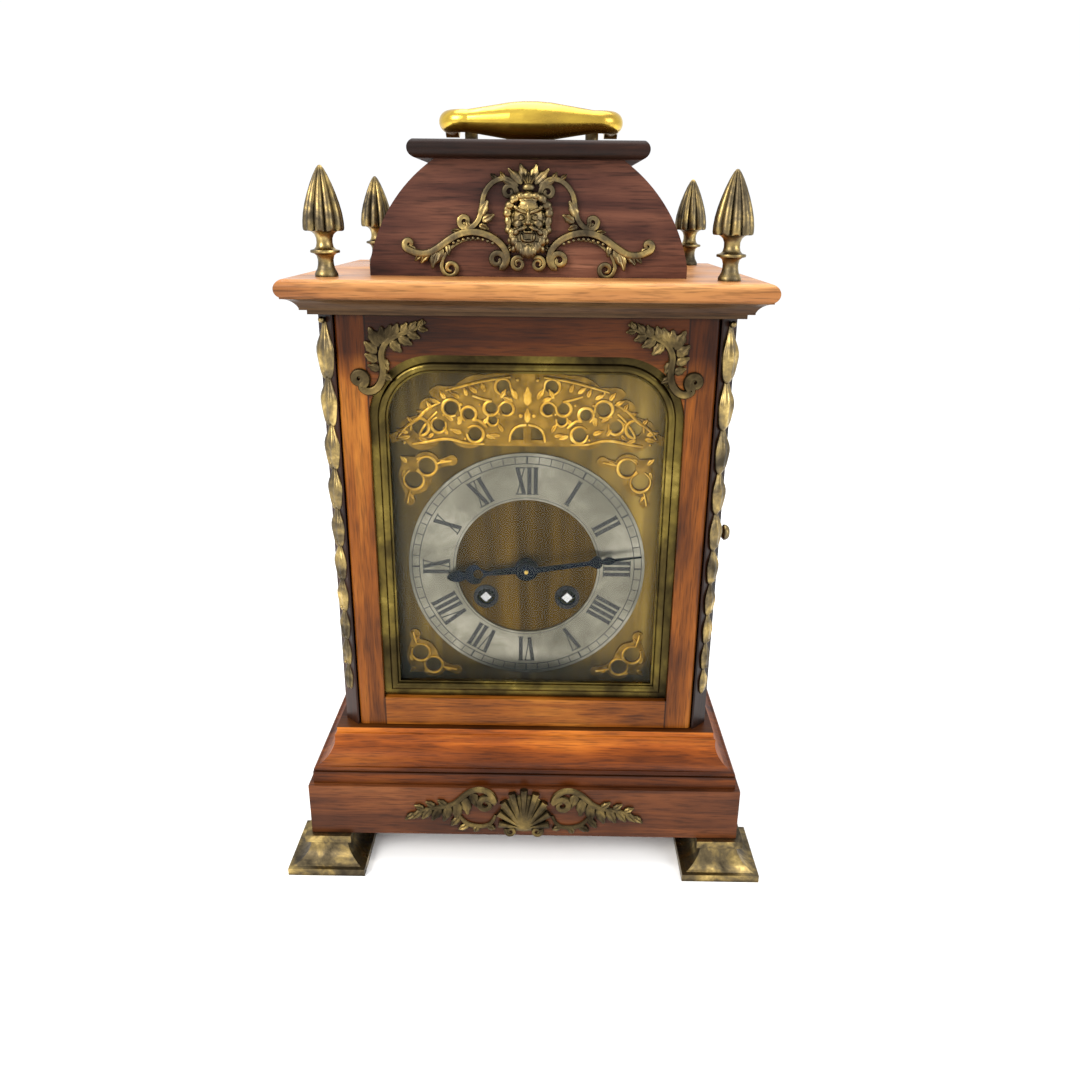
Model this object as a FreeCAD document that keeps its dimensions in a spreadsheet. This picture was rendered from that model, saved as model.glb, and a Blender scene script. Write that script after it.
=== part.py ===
"""Spring-driven striking bracket clock, modelled as its separate pieces.

Millimetres, +Z up. The origin is on the floor, under the middle of the clock. The dial faces -Y,
and +X is to the right of somebody who reads it.
"""
import math
import os
import re

import FreeCAD, Part
import Sketcher
from FreeCAD import Placement, Rotation, Vector

doc = FreeCAD.newDocument("BracketClock")
sheet = doc.addObject("Spreadsheet::Sheet", "Sizes")

# The driving dimensions: alias, value in millimetres or degrees or a count, meaning
SIZES = [
    ("case_wide", 237, "body of the case, side to side"),
    ("case_deep", 187, "body of the case, front to back"),
    ("case_high", 262, "body of the case, base moulding to cornice"),
    ("board_thick", 12, "case sides and boards"),
    ("post_wide", 10, "front post beside the door"),
    ("cant_wide", 9, "canted corner, measured along one side"),
    ("foot_square", 50, "bottom plate of a foot"),
    ("foot_neck", 30, "top plate of a foot"),
    ("foot_high", 23.5, "height of a foot"),
    ("foot_plate", 5, "thickness of a foot's two plates"),
    ("foot_out", 14, "foot proud of the plinth block"),
    ("block_high", 36, "plinth block"),
    ("block_out", 21, "plinth block proud of the case"),
    ("base_high", 33.5, "base moulding"),
    ("fascia_high", 8.5, "flat band under the base moulding's cove"),
    ("fascia_out", 18, "flat band proud of the case"),
    ("fillet_out", 4, "top fillet of the base moulding proud of the case"),
    ("cornice_high", 19.3, "cornice"),
    ("cornice_out", 17, "cornice nose proud of the case"),
    ("nose_high", 9.5, "rounded nose of the cornice"),
    ("soffit_out", 3, "lowest fillet of the cornice proud of the case"),
    ("door_thick", 16, "door frame"),
    ("door_gap", 1, "running gap round the doors, both sides together"),
    ("stile_wide", 17.2, "door stile"),
    ("lower_rail", 20, "bottom rail of the door"),
    ("upper_rail", 22, "top rail of the door"),
    ("arch_radius", 38, "upper corners of the door opening"),
    ("bezel_wide", 10.5, "bezel, opening to sight edge"),
    ("bezel_plate", 3, "flat of the bezel"),
    ("bezel_recess", 1.5, "bead behind the door front"),
    ("bead_wide", 5, "half-round bead of the bezel"),
    ("glass_thick", 2, "door glass"),
    ("fit", 0.2, "gap of a loose seat"),
    ("pin_radius", 1.5, "pivot pins of the doors"),
    ("pin_inset", 3.2, "pivot axis from the door's front and side"),
    ("pin_long", 6, "pivot pin inside the door"),
    ("play", 0.05, "radial clearance of a pivot"),
    ("dial_back_set", 22.8, "dial plate behind the door front"),
    ("dial_thick", 2, "dial plate"),
    ("dial_wide", 190, "dial plate, side to side"),
    ("dial_foot", 8, "dial plate's lower edge above the base moulding"),
    ("dial_high", 246, "dial plate height"),
    ("dial_centre", 103.3, "hand arbor above the base moulding"),
    ("ring_outer", 75, "chapter ring"),
    ("ring_inner", 45.2, "chapter ring"),
    ("ring_thick", 1.5, "chapter ring"),
    ("fret_thick", 1.5, "crest fret and spandrels"),
    ("winding_apart", 52.4, "between the winding arbors"),
    ("winding_drop", 20.8, "winding arbors below the hands"),
    ("square_side", 5, "winding square"),
    ("collet_outer", 8, "winding hole collet"),
    ("collet_inner", 5.6, "winding hole collet"),
    ("minute_long", 73, "minute hand, arbor to tip"),
    ("hour_long", 51, "hour hand, arbor to tip"),
    ("minute_turn", 81.5, "minute hand at rest, clockwise from twelve"),
    ("hour_turn", 263, "hour hand at rest, clockwise from twelve"),
    ("hand_thick", 1, "hands"),
    ("hour_pipe", 4.6, "radius of the hour wheel's pipe"),
    ("cannon_pipe", 2.7, "radius of the cannon pinion's pipe"),
    ("spandrel_out", 77, "outer corner of a spandrel from the middle"),
    ("plate_wide", 124, "movement plates"),
    ("plate_low", 44, "movement plates' lower edge above the base moulding"),
    ("plate_high", 122, "movement plates"),
    ("plate_thick", 3, "movement plates"),
    ("plate_behind", 14, "front plate behind the dial plate"),
    ("plates_apart", 57, "pillars between the plates"),
    ("pediment_wide", 181, "pediment board at its foot"),
    ("pediment_top", 105, "pediment board under the cap"),
    ("pediment_high", 62, "pediment board"),
    ("pediment_set", 24, "pediment board behind the door front"),
    ("pediment_edge", 6, "straight foot of the pediment's side"),
    ("pediment_bulge", 88, "radius of the pediment's curved side"),
    ("pediment_thick", 8, "pediment boards"),
    ("caddy_inset", 2, "curved shell inside the boards' outline"),
    ("cap_out", 12, "cap proud of the pediment"),
    ("cap_high", 9.5, "cap"),
    ("finial_high", 58, "finial"),
    ("finial_side", 5.7, "finial axis from the case side"),
    ("finial_front", 12.6, "finial axis from the case front and back"),
    ("finial_flutes", 10, "flutes of a finial"),
    ("handle_wide", 109, "handle, outside to outside"),
    ("grip_radius", 10.6, "swell of the handle's grip"),
    ("handle_rod", 6.2, "radius of the handle's bends and arms"),
    ("handle_drop", 28, "grip from the handle's axis"),
    ("post_apart", 74, "between the handle posts"),
    ("handle_axis", 13.3, "handle pivots above the cap"),
    ("handle_pin", 2, "radius of the handle's pivots"),
    ("knob_high", 126, "side knob above the base moulding"),
    ("knob_back", 30, "side knob behind the door front"),
    ("knob_radius", 5, "side knob"),
    ("knob_out", 10, "side knob proud of the case side"),
    ("husk_out", 3.2, "relief of the husks"),
    ("post_deep", 22, "front post, front to back"),
    ("door_stop", 4, "stop behind the door"),
    ("knob_shaft", 2.5, "radius of the side knob's shaft"),
    ("finger_up", 60, "catch finger released, turned up from its catching place"),
    ("rear_stile", 20, "rear frame round its door"),
    ("rear_border", 22, "border of the rear door's sunk field"),
    ("rear_sunk", 3, "depth of the rear door's field"),
    ("button_screw", 2, "radius of the turn button's screw"),
    ("mount_thick", 3, "relief of the cast mounts' plates"),
    ("mount_out", 98, "outer edge of a door mount from the middle"),
]
for row, (alias, value, meaning) in enumerate(SIZES, start=1):
    sheet.set(f"A{row}", meaning)
    sheet.set(f"B{row}", str(value))
    sheet.setAlias(f"B{row}", alias)
doc.recompute()

# Levels and planes that several pieces share, as expressions of the driving dimensions
FRONT = "(-case_deep / 2)"
BACK = "(case_deep / 2)"
BLOCK_FOOT = "foot_high"
BASE_FOOT = "(foot_high + block_high)"
CASE_FOOT = "(foot_high + block_high + base_high)"
CASE_TOP = "(foot_high + block_high + base_high + case_high)"
CORNICE_TOP = "(foot_high + block_high + base_high + case_high + cornice_high)"
CAP_FOOT = "(foot_high + block_high + base_high + case_high + cornice_high + pediment_high)"
CAP_TOP = "(foot_high + block_high + base_high + case_high + cornice_high + pediment_high + cap_high)"
DIAL_FACE = "(-case_deep / 2 + dial_back_set)"
DIAL_BACK = "(-case_deep / 2 + dial_back_set + dial_thick)"
HANDS_HIGH = "(foot_high + block_high + base_high + dial_centre)"
WINDING_HIGH = "(foot_high + block_high + base_high + dial_centre - winding_drop)"
PLATE_FRONT = "(-case_deep / 2 + dial_back_set + dial_thick + plate_behind)"
PLATE_BACK = "(-case_deep / 2 + dial_back_set + dial_thick + plate_behind + plate_thick + plates_apart)"
OPEN_SIDE = "(case_wide / 2 - post_wide - stile_wide)"
OPEN_FOOT = "(foot_high + block_high + base_high + lower_rail)"
OPEN_TOP = "(foot_high + block_high + base_high + case_high - upper_rail)"
DOOR_SIDE = "(case_wide / 2 - post_wide)"

ALIASES = re.compile(r"\b(" + "|".join(alias for alias, value, meaning in SIZES) + r")\b")
subparts = {}


def bound(text):
    """The expression with each alias spelt as a cell of the sheet."""
    return ALIASES.sub(r"Sizes.\1", str(text))


def size(text):
    """The present value of an expression."""
    return float(sheet.evalExpression(bound(text)))


def bind(thing, prop, text):
    """Tie a property to the sheet."""
    thing.setExpression(prop, bound(text))


def subpart(thing, name):
    """Name a finished piece: its label is its file's name."""
    thing.Label = name
    subparts[name] = thing
    return thing


def place(thing, x=0, y=0, z=0):
    """Move a piece by expressions."""
    for axis, text in (("x", x), ("y", y), ("z", z)):
        bind(thing, f"Placement.Base.{axis}", text)
    return thing


def box(name, x, y, z):
    """A board between two expressions on each axis."""
    board = doc.addObject("Part::Box", name)
    for prop, (low, high) in (("Length", x), ("Width", y), ("Height", z)):
        bind(board, prop, f"({high}) - ({low})")
    return place(board, x[0], y[0], z[0])


def rod(name, radius, start, end, x=0, z=0, along="Y", across=0):
    """A round rod along Y, or along X or Z, between two expressions."""
    turns = {"X": Rotation(Vector(0, 1, 0), 90), "Y": Rotation(Vector(1, 0, 0), -90), "Z": Rotation()}
    round_rod = doc.addObject("Part::Cylinder", name)
    round_rod.Placement = Placement(Vector(), turns[along])
    bind(round_rod, "Radius", radius)
    bind(round_rod, "Height", f"({end}) - ({start})")
    spots = {"X": (start, across, z), "Y": (x, start, z), "Z": (x, across, start)}
    return place(round_rod, *spots[along])


def cut(name, base, *tools):
    """The base less the tools."""
    piece = doc.addObject("Part::Cut", name)
    piece.Base = base
    piece.Tool = tools[0] if len(tools) == 1 else fuse(f"{name}_tools", *tools)
    return piece


def fuse(name, *pieces):
    """The pieces joined."""
    whole = doc.addObject("Part::MultiFuse", name)
    whole.Shapes = list(pieces)
    return whole


def common(name, first, second):
    """What two solids share."""
    shared = doc.addObject("Part::Common", name)
    shared.Base = first
    shared.Tool = second
    return shared


def group(name, pieces):
    """Separate solids that share one node."""
    together = doc.addObject("Part::Compound", name)
    together.Links = pieces
    return together


def feature(name, shape, x=0, y=0, z=0):
    """A piece whose form comes from a formula, placed by expressions."""
    piece = doc.addObject("Part::Feature", name)
    piece.Shape = shape
    return place(piece, x, y, z)


def sketch_on(body, name, role, offset=0):
    """A sketch on one of the body's own origin planes, moved along the plane's normal."""
    drawing = body.newObject("Sketcher::SketchObject", name)
    plane = next(item for item in body.Origin.OriginFeatures if item.Role == role)
    drawing.AttachmentSupport = [(plane, "")]
    drawing.MapMode = "FlatFace"
    bind(drawing, "AttachmentOffset.Base.z", offset)
    return drawing


def arc_between(start, end, radius):
    """The shorter arc from start to end: a positive radius turns left, a negative one right."""
    chord = end - start
    half = chord.Length / 2
    rise = math.sqrt(max(radius * radius - half * half, 0))
    normal = Vector(-chord.y, chord.x, 0).normalize()
    side = 1 if radius > 0 else -1
    centre = (start + end) * 0.5 + normal * rise * side
    first = math.atan2(start.y - centre.y, start.x - centre.x)
    last = math.atan2(end.y - centre.y, end.x - centre.x)
    if side < 0:
        first, last = last, first
    circle = Part.Circle(centre, Vector(0, 0, 1), abs(radius))
    return Part.ArcOfCircle(circle, first, last if last > first else last + 2 * math.pi)


def outline(drawing, points):
    """A closed outline. Each point is (x, y), or (x, y, radius) where an arc leads on from it."""
    spots = [Vector(size(point[0]), size(point[1]), 0) for point in points]
    first = drawing.GeometryCount
    count = len(points)
    ends = []
    for i, point in enumerate(points):
        start, end = spots[i], spots[(i + 1) % count]
        if len(point) == 2:
            drawing.addGeometry(Part.LineSegment(start, end), False)
            ends.append((1, 2))
        else:
            radius = size(point[2])
            drawing.addGeometry(arc_between(start, end, radius), False)
            ends.append((1, 2) if radius > 0 else (2, 1))
    for i, point in enumerate(points):
        here, after = first + i, first + (i + 1) % count
        start_end = ends[(i + 1) % count][0]
        drawing.addConstraint(Sketcher.Constraint("Coincident", here, ends[i][1], after, start_end))
        for kind, axis in (("DistanceX", 0), ("DistanceY", 1)):
            value = spots[i][axis]
            number = drawing.addConstraint(Sketcher.Constraint(kind, -1, 1, here, ends[i][0], value))
            drawing.setExpression(f"Constraints[{number}]", bound(point[axis]))
        if len(point) == 3:
            number = drawing.addConstraint(Sketcher.Constraint("Radius", here, abs(size(point[2]))))
            drawing.setExpression(f"Constraints[{number}]", bound(f"abs({point[2]})"))
    return drawing


def mirrored(points):
    """The right half of an outline, read upwards, with its left half added."""
    left = []
    for i in range(len(points) - 1, -1, -1):
        x, y = points[i][:2]
        lead = points[i - 1] if i > 0 else ()
        left.append((f"-({x})", y, lead[2]) if len(lead) == 3 else (f"-({x})", y))
    return list(points) + left


def circles(drawing, rings):
    """Whole circles (x, y, radius) in a drawing."""
    for x, y, radius in rings:
        spot = Vector(size(x), size(y), 0)
        number = drawing.GeometryCount
        drawing.addGeometry(Part.Circle(spot, Vector(0, 0, 1), size(radius)), False)
        for kind, value, text in (("DistanceX", spot.x, x), ("DistanceY", spot.y, y)):
            rule = drawing.addConstraint(Sketcher.Constraint(kind, -1, 1, number, 3, value))
            drawing.setExpression(f"Constraints[{rule}]", bound(text))
        rule = drawing.addConstraint(Sketcher.Constraint("Radius", number, size(radius)))
        drawing.setExpression(f"Constraints[{rule}]", bound(radius))
    return drawing


def pad(body, drawing, length, middle=False, back=False):
    """Thicken a drawing."""
    slab = body.newObject("PartDesign::Pad", f"{drawing.Name}_pad")
    slab.Profile = drawing
    slab.Midplane = middle
    slab.Reversed = back
    bind(slab, "Length", length)
    return slab


def pocket(body, drawing, length, back=False, middle=False):
    """Cut a drawing's area out of the body."""
    cutter = body.newObject("PartDesign::Pocket", f"{drawing.Name}_pocket")
    cutter.Profile = drawing
    cutter.Midplane = middle
    cutter.Reversed = back
    bind(cutter, "Length", length)
    return cutter


def turn(body, drawing, role="Z_Axis"):
    """Revolve a drawing about one of the body's axes."""
    spin = body.newObject("PartDesign::Revolution", f"{drawing.Name}_turn")
    axis = next(item for item in body.Origin.OriginFeatures if item.Role == role)
    spin.Profile = drawing
    spin.ReferenceAxis = (axis, [""])
    spin.Angle = 360
    return spin


def round_edges(body, name, radius, wanted):
    """Round the body's edges whose boxes are wanted."""
    doc.recompute()
    base = body.Tip
    edges = [f"Edge{i}" for i, edge in enumerate(base.Shape.Edges, start=1) if wanted(edge.BoundBox)]
    rounding = body.newObject("PartDesign::Fillet", name)
    rounding.Base = (base, edges)
    bind(rounding, "Radius", radius)
    return rounding


def new_body(name):
    """An empty body."""
    return doc.addObject("PartDesign::Body", name)


def front_slab(name, points, face, thick, holes=()):
    """A plate seen from the front: its outline on a plane that faces -Y, thickened backwards."""
    body = new_body(name)
    drawing = sketch_on(body, f"{name}_outline", "XZ_Plane", f"-({face})")
    outline(drawing, points)
    circles(drawing, holes)
    pad(body, drawing, thick, back=True)
    return body


def moulding(name, half_x, half_y, profile):
    """A moulding mitred round a rectangle: (distance outside it, level) points, read upwards."""
    reach = max(size(point[0]) for point in profile)
    views = []
    for view, role, half, other in (("front", "XZ_Plane", half_x, half_y),
                                    ("side", "YZ_Plane", half_y, half_x)):
        body = new_body(f"{name}_{view}")
        right = [(f"{half} + ({point[0]})",) + tuple(point[1:]) for point in profile]
        drawing = outline(sketch_on(body, f"{name}_{view}_profile", role), mirrored(right))
        pad(body, drawing, f"2 * ({other} + {reach + 5})", middle=True)
        views.append(body)
    return common(name, *views)


# Four feet: two plates with a hollow flare between them
FOOT_OUT = "(foot_square - foot_neck) / 2"
FOOT = [(FOOT_OUT, 0), (FOOT_OUT, "foot_plate"), (f"{FOOT_OUT} - 3", "foot_plate", -13),
        (-3, "foot_high - foot_plate - 2"), (-3, "foot_high - foot_plate"), (0, "foot_high - foot_plate"),
        (0, "foot_high")]
feet = []
for side, across in (("left", -1), ("right", 1)):
    for end, along in (("front", -1), ("rear", 1)):
        foot = moulding(f"foot_{end}_{side}", "foot_neck / 2", "foot_neck / 2", FOOT)
        middle_x = f"{across} * (case_wide / 2 + block_out + foot_out - foot_square / 2)"
        middle_y = f"{along} * (case_deep / 2 + block_out + foot_out - foot_square / 2)"
        feet.append(place(foot, middle_x, middle_y))
subpart(group("feet", feet), "feet")

# Plinth block: a hollow frame of thick boards
block = box("plinth_outer", ("-case_wide / 2 - block_out", "case_wide / 2 + block_out"),
            (f"{FRONT} - block_out", f"{BACK} + block_out"), (BLOCK_FOOT, BASE_FOOT))
BLOCK_WALL = "block_out + 10"
block_room = box("plinth_room",
                 (f"-case_wide / 2 - block_out + {BLOCK_WALL}", f"case_wide / 2 + block_out - {BLOCK_WALL}"),
                 (f"{FRONT} - block_out + {BLOCK_WALL}", f"{BACK} + block_out - {BLOCK_WALL}"),
                 (f"{BLOCK_FOOT} - 1", f"{BASE_FOOT} + 1"))
subpart(cut("plinth", block, block_room), "plinth")

# Base moulding: fascia, bead, cove and top fillet, mitred round the case
BASE = [("fascia_out", 0), ("fascia_out", "fascia_high"), ("fascia_out - 1.5", "fascia_high", 1.6),
        ("fascia_out - 1.5", "fascia_high + 3"), ("fascia_out - 3", "fascia_high + 3", -16),
        ("fillet_out + 1.5", "base_high - 5.5", 1.5), ("fillet_out", "base_high - 4"),
        ("fillet_out", "base_high")]
base = place(moulding("base_profile", "case_wide / 2", "case_deep / 2", BASE), z=BASE_FOOT)
BASE_WALL = 24
base_room = box("base_room", (f"-case_wide / 2 + {BASE_WALL}", f"case_wide / 2 - {BASE_WALL}"),
                (f"{FRONT} + {BASE_WALL}", f"{BACK} - {BASE_WALL}"),
                (f"{BASE_FOOT} - 1", f"{CASE_FOOT} + 1"))
PIN_X = "(-case_wide / 2 + post_wide + door_gap / 2 + pin_inset)"
PIN_Y = f"({FRONT} + pin_inset)"
REAR_X = "(-case_wide / 2 + board_thick + rear_stile + door_gap / 2 + pin_inset)"
REAR_Y = f"({BACK} - pin_inset)"
base_pin = rod("base_pin_hole", "pin_radius", f"{CASE_FOOT} - pin_long", f"{CASE_FOOT} + 1", PIN_X,
               along="Z",
               across=PIN_Y)
subpart(cut("base_moulding", base, base_room, base_pin), "base_moulding")

floor_board = box("case_floor", (f"-case_wide / 2 + {BASE_WALL}", f"case_wide / 2 - {BASE_WALL}"),
                  (f"{FRONT} + {BASE_WALL}", f"{BACK} - {BASE_WALL}"),
                  (BASE_FOOT, f"{BASE_FOOT} + board_thick"))
subpart(floor_board, "case_floor")

# Front posts: canted outside, with a stop behind the door
for side, sign in (("left", -1), ("right", 1)):
    body = new_body(f"front_post_{side}")
    plan = sketch_on(body, f"front_post_{side}_plan", "XY_Plane", CASE_FOOT)
    corners = [("case_wide / 2 - post_wide", FRONT), ("case_wide / 2 - cant_wide", FRONT),
               ("case_wide / 2", f"{FRONT} + cant_wide"), ("case_wide / 2", f"{FRONT} + post_deep"),
               ("case_wide / 2 - post_wide - door_stop", f"{FRONT} + post_deep"),
               ("case_wide / 2 - post_wide - door_stop", f"{FRONT} + door_thick + 1.2"),
               ("case_wide / 2 - post_wide", f"{FRONT} + door_thick + 1.2")]
    outline(plan, [(f"{sign} * ({x})", y) for x, y in corners])
    pad(body, plan, "case_high")
    subpart(body, body.Name)

# Sides, the right one bored for the door's catch
KNOB_Z = "(foot_high + block_high + base_high + knob_high)"
KNOB_Y = f"({FRONT} + knob_back)"
for side, low, high in (("left", "-case_wide / 2", "-case_wide / 2 + board_thick"),
                        ("right", "case_wide / 2 - board_thick", "case_wide / 2")):
    board = box(f"case_side_{side}_board", (low, high), (f"{FRONT} + post_deep", BACK),
                (CASE_FOOT, CASE_TOP))
    if side == "right":
        bore = rod("knob_bore", "knob_shaft + play", f"{low} - 1", f"{high} + 1", z=KNOB_Z, along="X",
                   across=KNOB_Y)
        board = cut("case_side_right_bored", board, bore)
    subpart(board, f"case_side_{side}")

# Rear frame between the sides, and the rear door that closes it
REAR_OPEN = "(case_wide / 2 - board_thick - rear_stile)"
frame = box("rear_frame_board", ("-case_wide / 2 + board_thick", "case_wide / 2 - board_thick"),
            (f"{BACK} - board_thick", BACK), (CASE_FOOT, CASE_TOP))
frame_open = box("rear_frame_opening", (f"-{REAR_OPEN}", REAR_OPEN),
                 (f"{BACK} - board_thick - 1", f"{BACK} + 1"),
                 (f"{CASE_FOOT} + rear_stile", f"{CASE_TOP} - rear_stile"))
frame_pin = rod("rear_pin_hole", "pin_radius", f"{CASE_FOOT} + rear_stile - pin_long",
                f"{CASE_TOP} - rear_stile + pin_long", REAR_X, along="Z", across=REAR_Y)
subpart(cut("rear_frame", frame, frame_open, frame_pin), "rear_frame")

panel = new_body("rear_door_leaf")
leaf = sketch_on(panel, "rear_leaf", "XZ_Plane", f"-({BACK})")
LEAF_X = f"({REAR_OPEN} - door_gap / 2)"
LEAF_LOW = f"({CASE_FOOT} + rear_stile + door_gap / 2)"
LEAF_HIGH = f"({CASE_TOP} - rear_stile - door_gap / 2)"
outline(leaf, mirrored([(LEAF_X, LEAF_LOW), (LEAF_X, LEAF_HIGH)]))
pad(panel, leaf, "board_thick - 1")
field = sketch_on(panel, "rear_field", "XZ_Plane", f"-({BACK})")
outline(field, mirrored([(f"{LEAF_X} - rear_border", f"{LEAF_LOW} + rear_border"),
                         (f"{LEAF_X} - rear_border", f"{LEAF_HIGH} - rear_border")]))
pocket(panel, field, "rear_sunk", back=True)
round_edges(panel, "rear_leaf_round", "pin_inset - 0.2",
            lambda box: box.ZLength > 100 and abs(box.XMax + size(LEAF_X)) < 0.1
            and abs(box.YMax - size(BACK)) < 0.1)
rear_bore = rod("rear_door_bore", "pin_radius + play", f"{LEAF_LOW} - 1", f"{LEAF_LOW} + pin_long + 1",
                REAR_X,
                along="Z", across=REAR_Y)
rear_bore_top = rod("rear_door_bore_top", "pin_radius + play", f"{LEAF_HIGH} - pin_long - 1",
                    f"{LEAF_HIGH} + 1",
                    REAR_X, along="Z", across=REAR_Y)
button_bore = rod("button_bore", "button_screw + play", f"{BACK} - board_thick - 1", f"{BACK} + 1",
                  f"{REAR_OPEN} - 8", KNOB_Z)
subpart(cut("rear_door", panel, rear_bore, rear_bore_top, button_bore), "rear_door")
rear_pins = [rod("rear_pivot_low", "pin_radius", f"{LEAF_LOW} - pin_long", f"{LEAF_LOW} + pin_long", REAR_X,
                 along="Z", across=REAR_Y),
             rod("rear_pivot_high", "pin_radius", f"{LEAF_HIGH} - pin_long", f"{LEAF_HIGH} + pin_long",
                 REAR_X,
                 along="Z", across=REAR_Y)]

# Turn catch of the rear door: a knob outside, and inside a bar that swings behind the frame
BUTTON_X = f"({REAR_OPEN} - 8)"
bar = box("button_bar", (f"{BUTTON_X} - 4", f"{BUTTON_X} + 4"),
          (f"{BACK} - board_thick - 4", f"{BACK} - board_thick - 0.3"), (f"{KNOB_Z} - 5", f"{KNOB_Z} + 22"))
button_shank = rod("button_shank", "button_screw", f"{BACK} - board_thick - 1", f"{BACK} + 1", BUTTON_X,
                   KNOB_Z)
button_knob = rod("button_knob", 6, f"{BACK} + 0.3", f"{BACK} + 4.5", BUTTON_X, KNOB_Z)
subpart(fuse("rear_button", bar, button_shank, button_knob), "rear_button")

# Cornice: a board with a rounded nose over a hollow
CORNICE = [("soffit_out", 0), ("soffit_out", 2.6), ("soffit_out + 3.5", 2.6), ("soffit_out + 3.5", 3.6, -9),
           ("cornice_out - 2.5", "cornice_high - nose_high - 0.8"),
           ("cornice_out - 2.5", "cornice_high - nose_high", 5.3),
           ("cornice_out - 4", "cornice_high")]
cornice = place(moulding("cornice_profile", "case_wide / 2", "case_deep / 2", CORNICE), z=CASE_TOP)
top_pin = rod("top_pin_hole", "pin_radius", f"{CASE_TOP} - 1", f"{CASE_TOP} + pin_long", PIN_X, along="Z",
              across=PIN_Y)
subpart(cut("cornice", cornice, top_pin), "cornice")
door_pins = [rod("door_pivot_low", "pin_radius", f"{CASE_FOOT} - pin_long", f"{CASE_FOOT} + pin_long", PIN_X,
                 along="Z", across=PIN_Y),
             rod("door_pivot_high", "pin_radius", f"{CASE_TOP} - pin_long", f"{CASE_TOP} + pin_long", PIN_X,
                 along="Z", across=PIN_Y)]
subpart(group("door_pivots", door_pins + rear_pins), "door_pivots")

# Pediment: arched boards front and rear with a curved hollow shell between them
def arch(inset):
    """The pediment's outline, read up its right side."""
    return [(f"pediment_wide / 2 - {inset}", CORNICE_TOP),
            (f"pediment_wide / 2 - {inset}", f"{CORNICE_TOP} + pediment_edge", "pediment_bulge"),
            (f"pediment_top / 2 - {inset}", f"{CAP_FOOT} - {inset}")]


PEDIMENT_FACE = "(-case_deep / 2 + pediment_set)"
PEDIMENT_REAR = "(case_deep / 2 - pediment_set)"
subpart(front_slab("pediment_front", mirrored(arch(0)), PEDIMENT_FACE, "pediment_thick"), "pediment_front")
subpart(front_slab("pediment_rear", mirrored(arch(0)), f"{PEDIMENT_REAR} - pediment_thick",
                   "pediment_thick"),
        "pediment_rear")
SHELL_LONG = f"({PEDIMENT_REAR} - ({PEDIMENT_FACE}) - 2 * pediment_thick)"
shell = front_slab("caddy_outer", mirrored(arch("caddy_inset")), f"{PEDIMENT_FACE} + pediment_thick",
                   SHELL_LONG)
shell_room = front_slab("caddy_room", mirrored(arch("(caddy_inset + 8)")),
                        f"{PEDIMENT_FACE} + pediment_thick - 1",
                        f"{SHELL_LONG} + 2")
subpart(cut("pediment_shell", shell, shell_room), "pediment_shell")

# Cap: a slab with its edges rounded
cap = moulding("cap_profile", "pediment_top / 2", f"(-({PEDIMENT_FACE}))",
               [("cap_out - 8", 0), ("cap_out - 4", 0, 5), ("cap_out - 2", "cap_high")])
subpart(place(cap, z=CAP_FOOT), "cap")

# Handle posts on the cap, each with a pin that the bail turns on
HANDLE_Z = ("(foot_high + block_high + base_high + case_high + cornice_high + pediment_high + cap_high"
            " + handle_axis)")
ARM_X = "(handle_wide / 2 - handle_rod)"
posts = []
for side, sign in (("left", -1), ("right", 1)):
    base_plate = rod(f"post_foot_{side}", 7, CAP_TOP, f"{CAP_TOP} + 2.5", f"{sign} * post_apart / 2",
                     along="Z")
    stem = rod(f"post_stem_{side}", 4, f"{CAP_TOP} + 2", f"{HANDLE_Z} + 4.5", f"{sign} * post_apart / 2",
               along="Z")
    pin_ends = ("-post_apart / 2 - 12", "-post_apart / 2") if sign < 0 else ("post_apart / 2",
                                                                             "post_apart / 2 + 12")
    pin = rod(f"post_pin_{side}", "handle_pin", *pin_ends, z=HANDLE_Z, along="X")
    posts.append(fuse(f"handle_post_{side}", base_plate, stem, pin))
subpart(group("handle_posts", posts), "handle_posts")

# Handle: arms and bends of round rod, and a grip that swells to its middle
bail = new_body("handle_bail")
route = sketch_on(bail, "handle_route", "XY_Plane")
BEND = "(handle_rod + 3)"
corners = [(f"-{ARM_X}", 0), (f"-{ARM_X}", f"{BEND} - handle_drop"), (f"{BEND} - {ARM_X}", "-handle_drop"),
           (f"{ARM_X} - {BEND}", "-handle_drop"), (ARM_X, f"{BEND} - handle_drop"), (ARM_X, 0)]
spots = [Vector(size(x), size(y), 0) for x, y in corners]
route.addGeometry([Part.LineSegment(spots[0], spots[1]), arc_between(spots[1], spots[2], size(BEND)),
                   Part.LineSegment(spots[2], spots[3]), arc_between(spots[3], spots[4], size(BEND)),
                   Part.LineSegment(spots[4], spots[5])], False)
for i in range(4):
    route.addConstraint(Sketcher.Constraint("Coincident", i, 2, i + 1, 1))
for i, (x, y) in enumerate(corners):
    line, end = (i, 1) if i < 5 else (4, 2)
    for kind, text, value in (("DistanceX", x, spots[i].x), ("DistanceY", y, spots[i].y)):
        rule = route.addConstraint(Sketcher.Constraint(kind, -1, 1, line, end, value))
        route.setExpression(f"Constraints[{rule}]", bound(text))
for bend in (1, 3):
    rule = route.addConstraint(Sketcher.Constraint("Radius", bend, size(BEND)))
    route.setExpression(f"Constraints[{rule}]", bound(BEND))
section = sketch_on(bail, "handle_section", "XZ_Plane")
circles(section, [(f"-{ARM_X}", 0, "handle_rod")])
pipe = bail.newObject("PartDesign::AdditivePipe", "handle_pipe")
pipe.Profile = section
pipe.Spine = (route, [f"Edge{i}" for i in range(1, 6)])
grip = new_body("handle_grip")
swell = sketch_on(grip, "grip_profile", "XY_Plane")
GRIP_X = f"({ARM_X} - {BEND})"
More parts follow.
